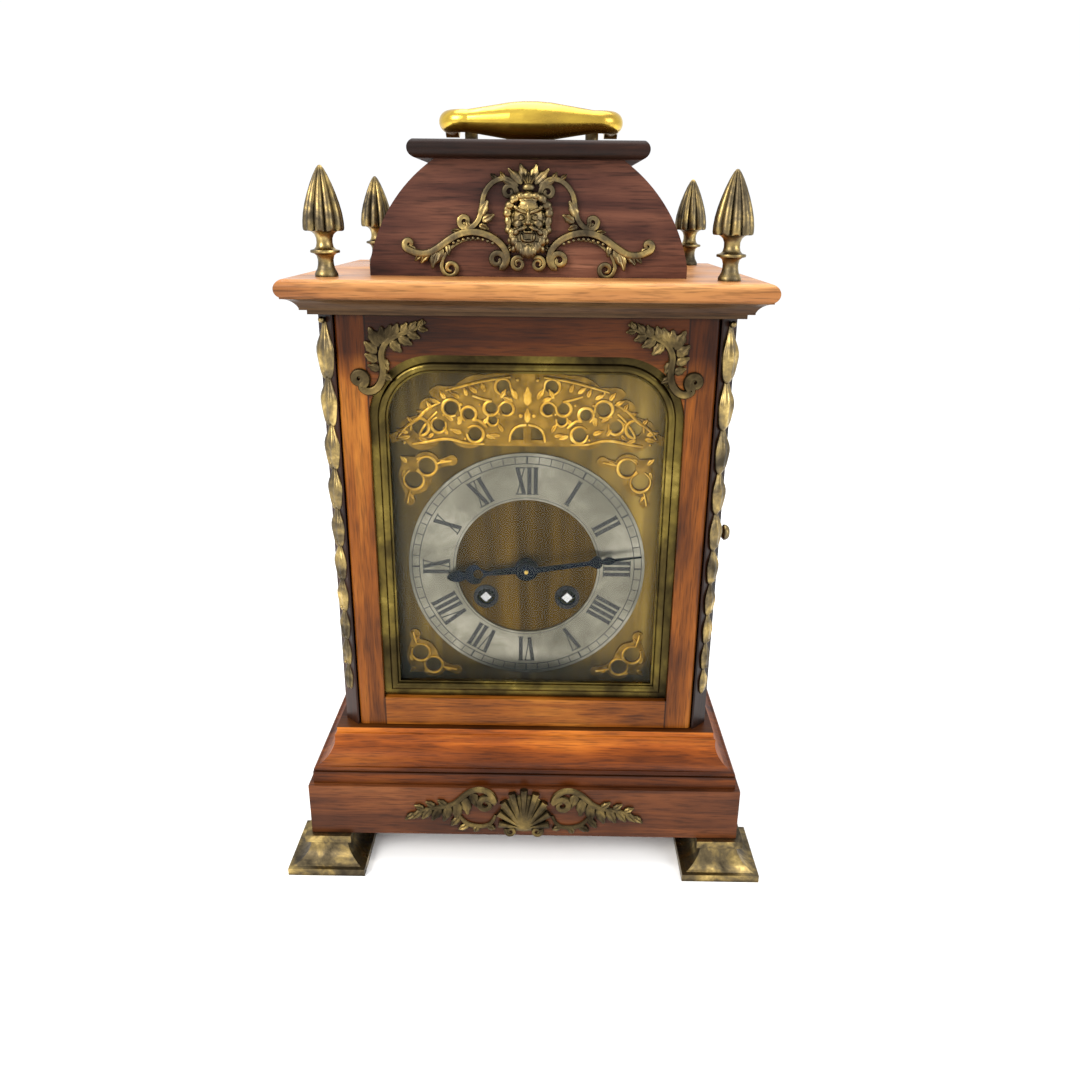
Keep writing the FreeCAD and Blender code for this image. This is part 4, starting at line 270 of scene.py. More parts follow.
# Cornice: painted shade under the cove, painted highlight on the nose and its top edge, which also stands for
# rubbed wear
dress(light_and_shade_bands("walnut_cornice", PALE,
             ((0.355, "1A1412"), (0.3638, "2A201A"), (0.3655, "A88C70"), (0.3705, "988068"),
              (0.3743, "D0BCA8"))),
      "cornice")
# Base moulding: painted highlights where the cove and the top face up, painted shade in the quirks and on the
# upright fascias
dress(light_and_shade_bands("walnut_base", BROWN,
             ((0.0595, "605048"), (0.066, "A09080"), (0.068, "403028"), (0.072, "A08C74"),
              (0.083, "E4CCA8"), (0.088, "C8B498"), (0.0925, "F0DCC0"), (0.093, "403028"))),
      "base_moulding")

# Metalwork: cast, turned and rolled brass and steel. A metal is drawn by its tone in patches, its wear,
# the dirt that stays in its hollows, and fine scratches in its surface
def metal(name, tones, rough, spots=55.0, hollow=None, marks=420.0, relief=0.15, stretch=(1, 1, 1)):
    """A metal with (position, hex) tones in patches, a roughness range and dirt in its hollows."""
    material, tree, surface = finish_of(name)
    coords = add(tree, "ShaderNodeTexCoord")
    laid = add(tree, "ShaderNodeMapping", links={"Vector": coords.outputs["Object"]}, Scale=stretch)
    patch = add(tree, "ShaderNodeTexNoise", links={"Vector": laid.outputs["Vector"]},
                Scale=spots, Detail=5.0, Roughness=0.6, Distortion=0.4)
    ramp = add(tree, "ShaderNodeValToRGB", links={"Fac": patch.outputs["Fac"]}, stops=tones)
    colour = ramp.outputs["Color"]
    if hollow:
        near = add(tree, "ShaderNodeAmbientOcclusion", {"samples": 6}, Distance=0.004)
        dirt = add(tree, "ShaderNodeMapRange", links={"Value": near.outputs["AO"]},
                   From_Min=0.35, From_Max=0.85, To_Min=0.0, To_Max=1.0)
        filled = add(tree, "ShaderNodeMix", {"data_type": "RGBA"}, {0: dirt.outputs["Result"], 7: colour})
        filled.inputs[6].default_value = sheet_colour(hollow)
        colour = filled.outputs[2]
    tree.links.new(colour, surface.inputs["Base Color"])
    fine = add(tree, "ShaderNodeTexNoise", links={"Vector": laid.outputs["Vector"]}, Scale=marks, Detail=3.0)
    sheen = add(tree, "ShaderNodeMapRange", links={"Value": patch.outputs["Fac"]},
                From_Min=0.3, From_Max=0.7, To_Min=rough[1], To_Max=rough[0])
    tree.links.new(sheen.outputs["Result"], surface.inputs["Roughness"])
    bump = add(tree, "ShaderNodeBump", links={"Height": fine.outputs["Fac"]},
               Strength=relief, Distance=0.0003)
    tree.links.new(bump.outputs["Normal"], surface.inputs["Normal"])
    surface.inputs["Metallic"].default_value = 1.0
    return material, tree, surface


# Cast brass gone brown in patches, with black dirt in its hollows and yellow metal where it is bare
antique, _, _ = metal("antique_cast_brass",
                      ((0.34, "3E372B"), (0.47, "62563F"), (0.58, "8C784C"), (0.72, "D2B672")),
                      (0.26, 0.55), spots=70.0, hollow="18130D")
# The handle, kept bright by hands: long soft reflections along its grip
polished, _, _ = metal("polished_cast_brass",
                       ((0.30, "7A6634"), (0.44, "BE9C40"), (0.58, "E2BE4C"), (0.78, "F4DC86")),
                       (0.13, 0.34), spots=38.0, stretch=(0.4, 1, 1), relief=0.06)
# Mercury gilding: a soft satin yellow with brown where it has worn through
gilt, _, _ = metal("fire_gilt_brass",
                   ((0.30, "8E6A22"), (0.46, "B48A30"), (0.60, "CDA344"), (0.78, "E6C468")),
                   (0.36, 0.55), spots=120.0, hollow="6A4A14", relief=0.3)
# The bezel, spun from sheet: nearly brown, with a narrow bright line along its bead
bezel_brass, _, _ = metal("spun_bezel_brass",
                          ((0.32, "241E12"), (0.48, "42381E"), (0.62, "645629"), (0.8, "9C8846")),
                          (0.24, 0.42), spots=30.0)
# Silver salts rubbed on brass: a cloudy grey with a satin shine
silvered, _, _ = metal("silvered_brass",
                       ((0.25, "59564A"), (0.48, "747062"), (0.62, "8B8778"), (0.85, "A8A495")),
                       (0.3, 0.42), spots=32.0, marks=260.0, relief=0.05)
# Movement brass, cleaner than the mounts because it is shut in
works, _, _ = metal("clock_brass", ((0.32, "8E7436"), (0.50, "B3954A"), (0.68, "CDB066")),
                    (0.25, 0.4), spots=40.0)
# Steel blued by heat: nearly black, with a blue glint
blued, _, _ = metal("blued_steel", ((0.32, "08090C"), (0.50, "0E1118"), (0.70, "171C28")),
                    (0.26, 0.4), spots=90.0, relief=0.02)
# Filed and polished steel: an even pale grey
bright, _, _ = metal("bright_steel", ((0.32, "8C8C8A"), (0.50, "A8A8A6"), (0.70, "C2C2C0")),
                     (0.2, 0.34), spots=70.0)
# Iron blacked with oil and heat: dull and dark
black_iron, _, _ = metal("blackened_iron", ((0.32, "17171A"), (0.50, "242427"), (0.70, "343436")),
                         (0.42, 0.6))
dress(antique, "feet", "side_knob", "rear_button", "handle_posts")
dress(polished, "handle")
dress(bezel_brass, "bezel")
dress(silvered, "chapter_ring")
dress(works, "dial_brackets", "front_plate", "back_plate", "back_cock", "door_pivots",
      "hour_wheel", "minute_wheel", "centre_wheel", "intermediate_wheel", "third_wheel",
      "escape_wheel", "going_barrel", "strike_barrel", "strike_second_wheel", "pin_wheel",
      "gathering_wheel", "fly", "pendulum")
dress(blued, "hour_hand", "minute_hand", "cannon_pinion", "gong")
dress(bright, "anchor", "going_winder", "strike_winder", "hammer", "door_catch")
dress(black_iron, "gong_stand", "winding_collets")

# Door glass: a flat sheet of old drawn glass, held in the frame by the bezel. It is slightly wavy, and so
# clean that the eye gets only a faint grey film and its reflections
glass, tree, surface = finish_of("drawn_sheet_glass")
place = add(tree, "ShaderNodeTexCoord")
wave = add(tree, "ShaderNodeTexNoise", links={"Vector": place.outputs["Object"]}, Scale=9.0, Detail=2.0)
film = add(tree, "ShaderNodeMapRange", links={"Value": wave.outputs["Fac"]},
           From_Min=0.3, From_Max=0.7, To_Min=0.0, To_Max=0.03)
tree.links.new(film.outputs["Result"], surface.inputs["Roughness"])
haze = add(tree, "ShaderNodeMapRange", links={"Value": wave.outputs["Fac"]},
           From_Min=0.3, From_Max=0.7, To_Min=0.03, To_Max=0.07)
tree.links.new(haze.outputs["Result"], surface.inputs["Alpha"])
ripple = add(tree, "ShaderNodeBump", links={"Height": wave.outputs["Fac"]}, Strength=0.05, Distance=0.001)
tree.links.new(ripple.outputs["Normal"], surface.inputs["Normal"])
surface.inputs["Base Color"].default_value = sheet_colour("5E655E")
surface.inputs["IOR"].default_value = 1.5
dress(glass, "door_glass")

# Finials: turned and fluted cast brass, each on a spigot in the cornice. Ten soft ridges run up the flame
# and meet in its point, over a waisted stem with one thin collar
MM = 0.001


def ball(shape, middle, radii, turned=0.0, around="Y", segments=14):
    """A swelling in a casting: an egg with the given half sizes in mm, turned in degrees."""
    made = bmesh.ops.create_uvsphere(shape, u_segments=segments, v_segments=segments // 2 + 1, radius=1)
    place = (Matrix.Translation(Vector(middle) * MM) @ Matrix.Rotation(math.radians(turned), 4, around)
             @ Matrix.Diagonal([r * MM for r in radii] + [1]))
    bmesh.ops.transform(shape, matrix=place, verts=made["verts"])
    return made["verts"]


def turned_part(shape, profile, middle, steps):
    """Turn (radius, level) points in mm about an upright axis through the middle."""
    first = [shape.verts.new(Vector((radius, 0, level)) * MM) for radius, level in profile]
    edges = [shape.edges.new(pair) for pair in zip(first, first[1:])]
    bmesh.ops.spin(shape, geom=first + edges, cent=(0, 0, 0), axis=(0, 0, 1), angle=math.tau, steps=steps,
                   use_merge=True)
    made = {vert for face in shape.faces for vert in face.verts if not face.tag}
    bmesh.ops.translate(shape, vec=Vector(middle) * MM, verts=list(made))
    for face in shape.faces:
        face.tag = True
    return list(made)


def finished(name, shape, finish, body, *nodes, sharp=38):
    """The finished piece: a smooth skin with sharp creases, on its body, in place of the solids it names."""
    bmesh.ops.remove_doubles(shape, verts=shape.verts, dist=2e-7)
    bmesh.ops.recalc_face_normals(shape, faces=shape.faces)
    mesh = bpy.data.meshes.new(name)
    shape.to_mesh(mesh)
    shape.free()
    mesh.materials.append(finish)
    mesh.shade_smooth()
    mesh.set_sharp_from_angle(angle=math.radians(sharp))
    piece = bpy.data.objects.new(name, mesh)
    bpy.context.scene.collection.objects.link(piece)
    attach(piece, body)
    if nodes:
        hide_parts(*nodes)
    return piece


FINIAL_AT = (112.8, 80.9)
CORNICE_TOP = 374.3
FLUTES = 10
FLUTE_FROM = 24.3
FLUTE_DEEP = 0.20
FINIAL = ((0.0, 0.0), (6.4, 0.0), (6.5, 1.4), (5.9, 2.6), (4.9, 4.4), (4.4, 6.6), (4.3, 9.0),
          (4.9, 11.2), (6.2, 12.3), (8.0, 12.7), (8.2, 13.4), (8.0, 14.1), (6.0, 14.6), (4.9, 15.8),
          (4.4, 18.0), (4.5, 20.4), (5.3, 22.4), (6.6, 23.6), (7.6, 24.1), (10.4, 24.2), (11.1, 24.7),
          (11.3, 26.0), (11.2, 29.0), (10.6, 33.5), (9.4, 38.5), (7.8, 43.5), (5.9, 48.5), (3.9, 53.0),
          (2.1, 56.2), (0.9, 57.7), (0.0, 58.0))
shape = bmesh.new()
for across in (-1, 1):
    for along in (-1, 1):
        stand = (across * FINIAL_AT[0], along * FINIAL_AT[1], CORNICE_TOP)
        for vert in turned_part(shape, FINIAL, stand, steps=80):
            level = vert.co.z / MM - CORNICE_TOP
            if level > FLUTE_FROM:
                x, y = vert.co.x - stand[0] * MM, vert.co.y - stand[1] * MM
                ridge = abs(math.sin(math.atan2(y, x) * FLUTES / 2)) ** 0.7
                keep = 1 - FLUTE_DEEP + FLUTE_DEEP * ridge
                vert.co.x, vert.co.y = stand[0] * MM + x * keep, stand[1] * MM + y * keep
finished("fluted_finials", shape, antique, "case", "finials", sharp=50)

# Mask mount: one thin brass casting, pinned to the pediment. Scrolling arms that end in acanthus tips carry
# its face, under a crest of leaves
PEDIMENT_FACE = 69.5


def arm(shape, line, widths, face, flat=0.75, rise=0.0):
    """A scrolling rib through (x, z) points in mm on a face that looks to -Y, with widths along it."""
    curve = bpy.data.curves.new("rib", "CURVE")
    curve.dimensions = "3D"
    curve.bevel_depth = MM
    curve.bevel_resolution = 2
    curve.use_fill_caps = True
    curve.resolution_u = 3
    spline = curve.splines.new("NURBS")
    spline.points.add(len(line) - 1)
    for number, (x, z) in enumerate(line):
        share = number / (len(line) - 1) * (len(widths) - 1)
        lower = min(int(share), len(widths) - 2)
        spline.points[number].co = (x * MM, 0, z * MM, 1)
        wide = widths[lower] + (widths[lower + 1] - widths[lower]) * (share - lower)
        spline.points[number].radius = wide / 2
    spline.order_u = 3
    spline.use_endpoint_u = True
    rib = bpy.data.objects.new("rib", curve)
    mesh = bpy.data.meshes.new_from_object(rib)
    mesh.transform(Matrix.Translation((0, -(face + rise) * MM, 0)) @ Matrix.Diagonal((1, flat, 1, 1)))
    shape.from_mesh(mesh)
    bpy.data.objects.remove(rib)
    bpy.data.meshes.remove(mesh)


def curl(x, z, radius, start, turns, inner=0.28):
    """Points of a volute that winds inwards from a start angle in degrees; turns below 0 wind clockwise."""
    count = max(8, round(abs(turns) * 11))
    line = []
    for number in range(count + 1):
        share = number / count
        reach = radius * (1 - (1 - inner) * share)
        angle = math.radians(start) + math.tau * turns * share
        line.append((x + reach * math.cos(angle), z + reach * math.sin(angle)))
    return line


def leaflet(shape, x, z, angle, long, wide, face, thick=1.5):
    """An acanthus leaflet on a face that looks to -Y: pointed, hollow along its rib, its root at (x, z)."""
    made = bmesh.ops.create_uvsphere(shape, u_segments=14, v_segments=9, radius=1)["verts"]
    for vert in made:
        across, out, along = vert.co
        body = 1 - 0.55 * max(along, 0) + 0.12 * math.sin(along * 9)
        groove = 0.5 * math.exp(-(across / 0.24) ** 2)
        vert.co = Vector((across * wide / 2 * body, out * thick * (1 - groove) - 0.25 * along ** 2,
                          along * long / 2))
    place = (Matrix.Translation(Vector((x, -face, z)) * MM)
             @ Matrix.Rotation(math.radians(90 - angle), 4, "Y")
             @ Matrix.Scale(MM, 4) @ Matrix.Translation((0, 0, long / 2)))
    bmesh.ops.transform(shape, matrix=place, verts=made)


def beside(side, line, lift=0.0):
    """A line of (x, z) points, mirrored to the left where side is -1, and lifted."""
    return [(side * x, z + lift) for x, z in line]


def spray(shape, leaves, side, face, broader, thick=1.5, lift=0.0):
    """Leaflets from (x, z, angle, length, width), mirrored to the left where side is -1, and lifted."""
    for x, z, angle, long, wide in leaves:
        lean = angle if side > 0 else 180 - angle
        leaflet(shape, side * x, z + lift, lean, long, broader * wide, face, thick)


MOUNT_FACE = PEDIMENT_FACE + 2.0
MOUNT_LEAVES = (
    (48.6, 390.8, -62, 13.0, 5.4), (52.0, 389.8, -78, 12.0, 4.6), (55.4, 388.4, -52, 9.0, 4.0),
    (59.6, 387.6, -48, 7.0, 3.4), (46.0, 392.4, -100, 7.0, 3.4), (63.4, 388.4, 24, 6.4, 3.2),
    (27.2, 406.6, 118, 10.0, 4.6), (25.8, 404.0, 150, 8.0, 4.2), (27.6, 402.2, -160, 6.0, 3.4),
    (33.2, 400.6, 70, 5.0, 2.8), (31.6, 401.8, -28, 6.6, 3.4), (37.6, 398.4, 8, 6.0, 3.0),
    (1.4, 424.4, 72, 10.6, 4.4), (3.4, 423.6, 46, 11.6, 4.2), (5.6, 422.6, 22, 11.4, 3.8),
    (13.2, 425.8, 60, 5.0, 2.8), (17.6, 426.0, 40, 4.6, 2.6), (11.6, 389.0, 150, 5.0, 3.0))
FESTOON_BEADS = 9
shape = bmesh.new()
for side in (-1, 1):
    upper = curl(10.6, 419.6, 4.3, 200, -1.2)[::-1]
    upper += [(8.0, 424.6), (13.4, 427.0), (19.6, 425.2), (24.8, 419.2), (26.0, 411.0), (27.4, 405.0),
              (31.8, 400.6)]
    upper += curl(35.6, 404.2, 3.6, -80, 1.1)
    arm(shape, beside(side, upper), (1.6, 3.0, 3.4, 3.2, 3.6, 3.0, 1.4), MOUNT_FACE, rise=0.6)
    lower = curl(17.6, 383.6, 5.2, 250, -1.3)[::-1]
    lower += [(12.2, 381.6), (11.6, 387.4), (16.0, 393.4), (24.0, 397.8), (33.6, 399.0), (42.0, 396.2),
              (49.6, 390.6), (56.2, 386.6), (62.6, 386.6), (67.4, 388.6)]
    lower += curl(67.2, 391.8, 2.9, -60, 0.9)
    arm(shape, beside(side, lower), (1.8, 3.4, 3.8, 4.4, 4.6, 4.4, 3.6, 1.5), MOUNT_FACE, rise=0.8)
    inner = [(27.0, 394.6), (34.0, 395.0), (41.6, 391.8), (47.6, 386.0), (49.4, 380.2)]
    inner += curl(44.0, 378.8, 5.0, 0, -1.3)
    arm(shape, beside(side, inner), (1.2, 2.6, 3.0, 3.0, 1.6), MOUNT_FACE, rise=0.2)
    arm(shape, beside(side, curl(5.6, 381.6, 4.3, 130, -1.5)), (2.8, 2.4, 1.4), MOUNT_FACE, rise=0.4)
    arm(shape, beside(side, [(2.0, 386.0), (3.6, 385.8), (4.4, 385.4)]), (2.4, 2.6, 2.4), MOUNT_FACE)
    arm(shape, beside(side, [(12.4, 386.0), (9.6, 391.0), (9.0, 396.0)]), (3.0, 2.8, 2.0), MOUNT_FACE)
    spray(shape, MOUNT_LEAVES, side, MOUNT_FACE + 0.6, 1.25)
    for number in range(FESTOON_BEADS):
        share = number / (FESTOON_BEADS - 1)
        bead = (side * (20.0 + 22.0 * share), -(MOUNT_FACE + 1.4), 392.6 + 2.6 * math.sin(math.pi * share))
        ball(shape, bead, (1.05, 0.9, 1.05), segments=8)
ball(shape, (0, -(MOUNT_FACE + 1.6), 421.8), (3.4, 1.9, 2.7))
for angle in (62, 90, 118):
    leaflet(shape, 0, 422.6, angle, 7.6, 3.0, MOUNT_FACE + 1.4)
finished("pediment_mount", shape, antique, "case", "mask_mount")

# The face of that casting: a bearded grotesque with curled hair, modelled from swellings that are fused and
# softened, as a wax pattern is. Each has its distance out, its height and its half sizes in mm; on the
# middle line they are the skull, forehead, nose, its tip, beard, its point, lip, forelock and frown
HEAD = ((73.0, 405.6, 9.6, 5.6, 11.4), (76.8, 412.8, 5.6, 2.6, 3.6), (80.0, 406.4, 1.2, 1.6, 3.8),
        (81.0, 403.8, 1.6, 1.3, 1.3), (75.4, 396.0, 8.6, 3.4, 8.0), (78.2, 388.6, 2.4, 2.0, 4.2),
        (79.0, 394.2, 2.3, 1.1, 0.8), (77.2, 417.8, 3.0, 2.2, 2.2), (78.9, 411.6, 0.8, 0.8, 2.0))
# On both sides, with the distance from the middle first and the lean in degrees last: brow, eye, cheek and
# nostril, then moustache, lip and beard, then the curls, the lines of the forehead and the smallest locks
PAIRS = ((3.4, 79.0, 409.7, 3.2, 1.3, 1.1, 20), (6.4, 77.6, 411.2, 2.4, 1.4, 1.2, 40),
         (3.6, 77.9, 407.0, 1.6, 1.1, 1.0, 0), (3.7, 78.3, 405.6, 2.2, 0.8, 0.6, -14),
         (5.2, 76.4, 403.0, 3.2, 2.4, 2.8, -20), (1.7, 80.1, 403.2, 1.1, 1.0, 0.9, 0),
         (3.2, 79.7, 400.7, 3.2, 1.2, 1.1, -20), (6.4, 78.6, 398.9, 2.2, 1.3, 1.5, -50),
         (3.3, 79.0, 396.0, 0.9, 1.2, 2.2, -10), (1.2, 79.3, 398.9, 1.6, 0.9, 0.7, 0),
         (9.0, 76.2, 398.6, 2.6, 2.3, 2.6, 0), (7.6, 77.0, 394.2, 2.4, 2.2, 3.0, 22),
         (5.0, 77.9, 391.0, 2.0, 2.1, 3.4, 14), (2.5, 77.9, 388.4, 1.7, 1.9, 3.6, 6),
         (10.0, 75.2, 394.2, 1.9, 1.8, 2.2, 0), (7.8, 76.2, 389.8, 1.7, 1.8, 2.2, 20),
         (11.0, 74.6, 404.0, 2.3, 2.0, 3.4, -14), (11.4, 74.6, 408.6, 2.8, 2.4, 2.7, 0),
         (10.2, 75.4, 412.8, 2.9, 2.4, 2.6, 0), (7.6, 76.4, 416.2, 2.8, 2.4, 2.4, 0),
         (4.2, 77.2, 417.6, 2.4, 2.2, 2.1, 0), (11.0, 74.8, 400.0, 2.4, 2.2, 2.4, 0),
         (2.7, 78.3, 412.9, 2.2, 0.8, 0.55, 24), (2.9, 78.0, 414.8, 2.2, 0.8, 0.55, 12),
         (8.9, 77.2, 414.6, 1.3, 1.3, 1.3, 0), (12.4, 75.6, 410.8, 1.2, 1.3, 1.3, 0),
         (9.6, 77.6, 396.4, 1.2, 1.2, 1.4, 0), (6.4, 78.8, 391.8, 0.9, 1.2, 2.2, 20),
         (3.8, 79.2, 388.6, 0.8, 1.1, 2.2, 10))
FUSE_SIZE = 0.00036
shape = bmesh.new()
for y, z, *radii in HEAD:
    ball(shape, (0, -y, z), radii, segments=20)
for x, y, z, wide, deep, high, lean in PAIRS:
    for side in (-1, 1):
        ball(shape, (side * x, -y, z), (wide, deep, high), turned=-side * lean, segments=16)
face = finished("pediment_face", shape, antique, "case")
fuse = face.modifiers.new("one_casting", "REMESH")
fuse.mode = "VOXEL"
fuse.voxel_size = FUSE_SIZE
fuse.use_smooth_shade = True
soften = face.modifiers.new("soft_casting", "SMOOTH")
soften.factor = 0.5
soften.iterations = 3

# Corner mounts: acanthus sprays in thin cast brass, two pins each, set over the shoulders of the glass.
# They are fixed to the door frame, so they swing with it
DOOR_FACE = 93.5
CORNER_LEAVES = (
    (83.0, 337.6, 64, 12.0, 4.6), (84.2, 334.0, 42, 9.6, 4.4), (84.0, 329.6, 28, 8.4, 4.0),
    (83.0, 324.8, 20, 7.4, 3.6), (81.2, 338.6, 90, 10.4, 4.4), (78.4, 341.0, 106, 9.4, 4.2),
    (74.6, 343.6, 110, 7.6, 3.8), (70.0, 345.0, 118, 7.0, 3.6), (65.6, 346.8, 130, 6.6, 3.2),
    (76.6, 340.8, 224, 9.0, 4.2), (72.0, 343.0, 208, 9.0, 4.0), (67.0, 345.2, 200, 8.0, 3.6),
    (81.6, 331.0, 242, 7.6, 3.6), (60.4, 348.4, 120, 5.4, 2.8), (61.0, 348.0, 190, 6.0, 2.8),
    (81.4, 322.0, 210, 6.0, 3.0))
# Brass bronzed with acid: nearly as dark as the wood, with brown gold where the bronzing is thin
bronze, _, _ = metal("dark_bronzed_brass",
                     ((0.32, "2A2318"), (0.47, "4A3F2A"), (0.60, "6E5D38"), (0.76, "9A824C")),
                     (0.3, 0.55), hollow="14100B")
shape = bmesh.new()
for side in (-1, 1):
    stem = curl(95.2, 319.4, 4.6, -100, -1.5)[::-1]
    stem += [(90.8, 311.9), (85.4, 313.4), (81.6, 319.0), (81.0, 326.4), (82.4, 333.0), (79.8, 339.6),
             (73.6, 343.6), (66.0, 346.0), (59.0, 349.0), (56.4, 351.4)]
    arm(shape, beside(side, stem), (2.0, 3.6, 4.4, 5.2, 5.6, 5.2, 4.0, 1.6), DOOR_FACE + 1.0)
    spray(shape, CORNER_LEAVES, side, DOOR_FACE + 1.2, 1.5)
finished("acanthus_corners", shape, bronze, "front_door", "door_mounts")

# Shell mount: a cockle shell between C-scrolls with trailing acanthus, a dark bronze casting that is
# pinned to the middle of the plinth
PLINTH_FACE = 114.5
RIBS = 9
RIB_APART = 20.5
HINGE_HIGH = 30.5
SHELL_LEAVES = (
    (34.0, 57.0, -110, 12.0, 5.0), (38.0, 53.6, -96, 14.0, 5.2), (42.6, 49.6, -84, 14.0, 5.2),
    (48.0, 46.6, -70, 13.0, 5.0), (54.0, 45.4, -60, 12.0, 4.8), (60.0, 44.6, -52, 11.0, 4.4),
    (66.0, 43.0, -44, 10.0, 4.0), (71.0, 40.4, -36, 8.0, 3.4), (50.0, 46.0, 40, 8.0, 3.8),
    (57.6, 45.4, 34, 7.6, 3.6), (64.6, 43.8, 24, 7.4, 3.4), (30.0, 31.0, -60, 5.0, 3.6),
    (36.0, 32.4, -30, 8.0, 3.8), (24.0, 31.4, 200, 6.0, 3.4), (42.0, 38.0, -50, 9.0, 4.0))
shape = bmesh.new()
for number in range(RIBS):
    from_middle = number - (RIBS - 1) / 2
    angle = math.radians(90 + from_middle * RIB_APART)
    reach = 29.5 - 0.9 * abs(from_middle) ** 1.6
    tip = (math.cos(angle) * reach * 0.78, HINGE_HIGH + math.sin(angle) * reach)
    root = (math.cos(angle) * 4.0, HINGE_HIGH + math.sin(angle) * 3.0)
    middle = ((root[0] + tip[0]) / 2, (root[1] + tip[1]) / 2)
    arm(shape, [root, middle, tip], (1.2, 3.4, 5.2), PLINTH_FACE + 1.0, flat=0.85, rise=0.7)
for radius, level, out in ((15.6, 41.0, 0.3), (10.0, 37.0, 0.8)):
    ball(shape, (0, -(PLINTH_FACE + out), level), (radius, 1.6, radius * 0.92), segments=24)
for side in (-1, 1):
    arm(shape, beside(side, curl(8.6, 28.0, 3.6, 40, -1.3)), (3.0, 2.4, 1.4), PLINTH_FACE + 1.4, rise=0.6)
    branch = curl(24.6, 48.0, 6.0, 170, -1.25)[::-1]
    branch += [(20.6, 55.6), (26.4, 59.6), (33.0, 59.0), (39.6, 54.0), (45.4, 47.6), (54.0, 45.4),
               (64.0, 44.0), (72.0, 40.0), (77.4, 35.4)]
    arm(shape, beside(side, branch), (1.8, 3.4, 4.2, 5.0, 5.0, 4.2, 3.4, 1.4), PLINTH_FACE + 1.2)
    under = [(18.4, 40.0), (20.6, 33.0), (27.0, 30.4), (35.0, 31.4), (41.0, 36.0), (44.0, 43.0)]
    arm(shape, beside(side, under), (2.0, 3.0, 3.2, 3.0, 1.6), PLINTH_FACE + 1.0)
    spray(shape, SHELL_LEAVES, side, PLINTH_FACE + 1.0, 1.4, thick=1.8)
finished("shell_and_scrolls", shape, bronze, "case", "shell_mount")

# Husk drops: strings of bellflower husks, cast in one length and pinned down the canted corners. Each
# husk is three-lobed and fluted, hangs from a bead, and is a little smaller than the one above it
HUSKS = 10
FIRST_STEP = 29.0
STEP_LESS = 1.3
HALF_WIDE = 7.0
WIDE_LESS = 0.36
CASE_HALF = 118.5
CASE_TOP = 355.0
CANT = 9.0
shape = bmesh.new()
for side in (-1, 1):
    outward = Vector((side, -1, 0)).normalized()
    middle = Vector((side * (CASE_HALF - CANT / 2), -(DOOR_FACE - CANT / 2), 0))
    turned = Matrix.Rotation(math.radians(side * 45), 4, "Z")
    top = CASE_TOP - 4
    for number in range(HUSKS):
        long = FIRST_STEP - STEP_LESS * number
        wide = HALF_WIDE - WIDE_LESS * number
        made = bmesh.ops.create_uvsphere(shape, u_segments=42, v_segments=18, radius=1)["verts"]
        for vert in made:
            around = math.atan2(vert.co.y, vert.co.x)
            along = vert.co.z
            bell = 0.98 - 0.5 * along + 0.12 * math.cos(along * 5)
            flute = 1 - 0.22 * abs(math.sin(around * 3.5)) ** 2 * (1 - abs(along)) ** 0.3
            hem = -0.2 * abs(math.cos(around * 1.5)) * max(0, -along - 0.3)
            vert.co = Vector((vert.co.x * wide * bell * flute, vert.co.y * wide * 0.66 * bell * flute,
                              (along * 1.04 + hem) * long * 0.54))
        place = Matrix.Translation((middle + Vector((0, 0, top - long * 0.52))) * MM) @ turned
        bmesh.ops.transform(shape, matrix=place @ Matrix.Scale(MM, 4), verts=made)
        bead = middle + outward * 1.8 + Vector((0, 0, top + long * 0.02))
        ball(shape, bead, (wide * 0.3, wide * 0.3, wide * 0.26), segments=12)
        top -= long
for side in (-1, 1):
    outward = Vector((side, -1, 0)).normalized()
    middle = Vector((side * (CASE_HALF - CANT / 2), -(DOOR_FACE - CANT / 2), 0)) * MM
    half = [item for item in shape.verts[:] + shape.edges[:] + shape.faces[:]
            if (item.co.x if hasattr(item, "co") else item.verts[0].co.x) * side > 0]
    bmesh.ops.bisect_plane(shape, geom=half, plane_co=middle + outward * 0.05 * MM, plane_no=-outward,
                           clear_outer=True)
open_edges = [edge for edge in shape.edges if edge.is_boundary]
bmesh.ops.holes_fill(shape, edges=open_edges)
finished("bellflower_drops", shape, antique, "case", "husk_drops", sharp=60)

# Chapter ring: silvered brass, engraved and filled with black wax. Twelve Roman hour numerals stand with
# their feet towards the middle, inside a minute track of two lines and sixty marks
DIAL_MIDDLE = (0.0, 196.3)
RING_FACE = 72.2
# Engraver's wax, scraped flush: a dull soft black with a little dust in it
wax, tree, surface = finish_of("engraving_wax")
place = add(tree, "ShaderNodeTexCoord")
grime = add(tree, "ShaderNodeTexNoise", links={"Vector": place.outputs["Object"]}, Scale=300.0, Detail=3.0)
black = add(tree, "ShaderNodeValToRGB", links={"Fac": grime.outputs["Fac"]},
            stops=((0.3, "0B0B0A"), (0.55, "1B1A18"), (0.75, "3A3833")))
tree.links.new(black.outputs["Color"], surface.inputs["Base Color"])
dull = add(tree, "ShaderNodeMapRange", links={"Value": grime.outputs["Fac"]}, To_Min=0.35, To_Max=0.75)
tree.links.new(dull.outputs["Result"], surface.inputs["Roughness"])
sunk = add(tree, "ShaderNodeBump", links={"Height": grime.outputs["Fac"]}, Strength=0.2, Distance=0.0001)
tree.links.new(sunk.outputs["Normal"], surface.inputs["Normal"])
shape = bmesh.new()
TRACK_INNER, TRACK_OUTER, INNER_LINE = 68.4, 73.0, 46.6
HOUR_MARK, FINE_MARK, HAIR_LINE = 1.1, 0.5, 0.3
OVERLAP = 0.05
NUMERAL_FOOT = 49.0
NUMERAL_HIGH = 16.8
THICK, THIN, SERIF = 2.5, 0.7, 0.7
LETTER = {"I": 3.9, "V": 7.2, "X": 6.8}
WAX = 0.12


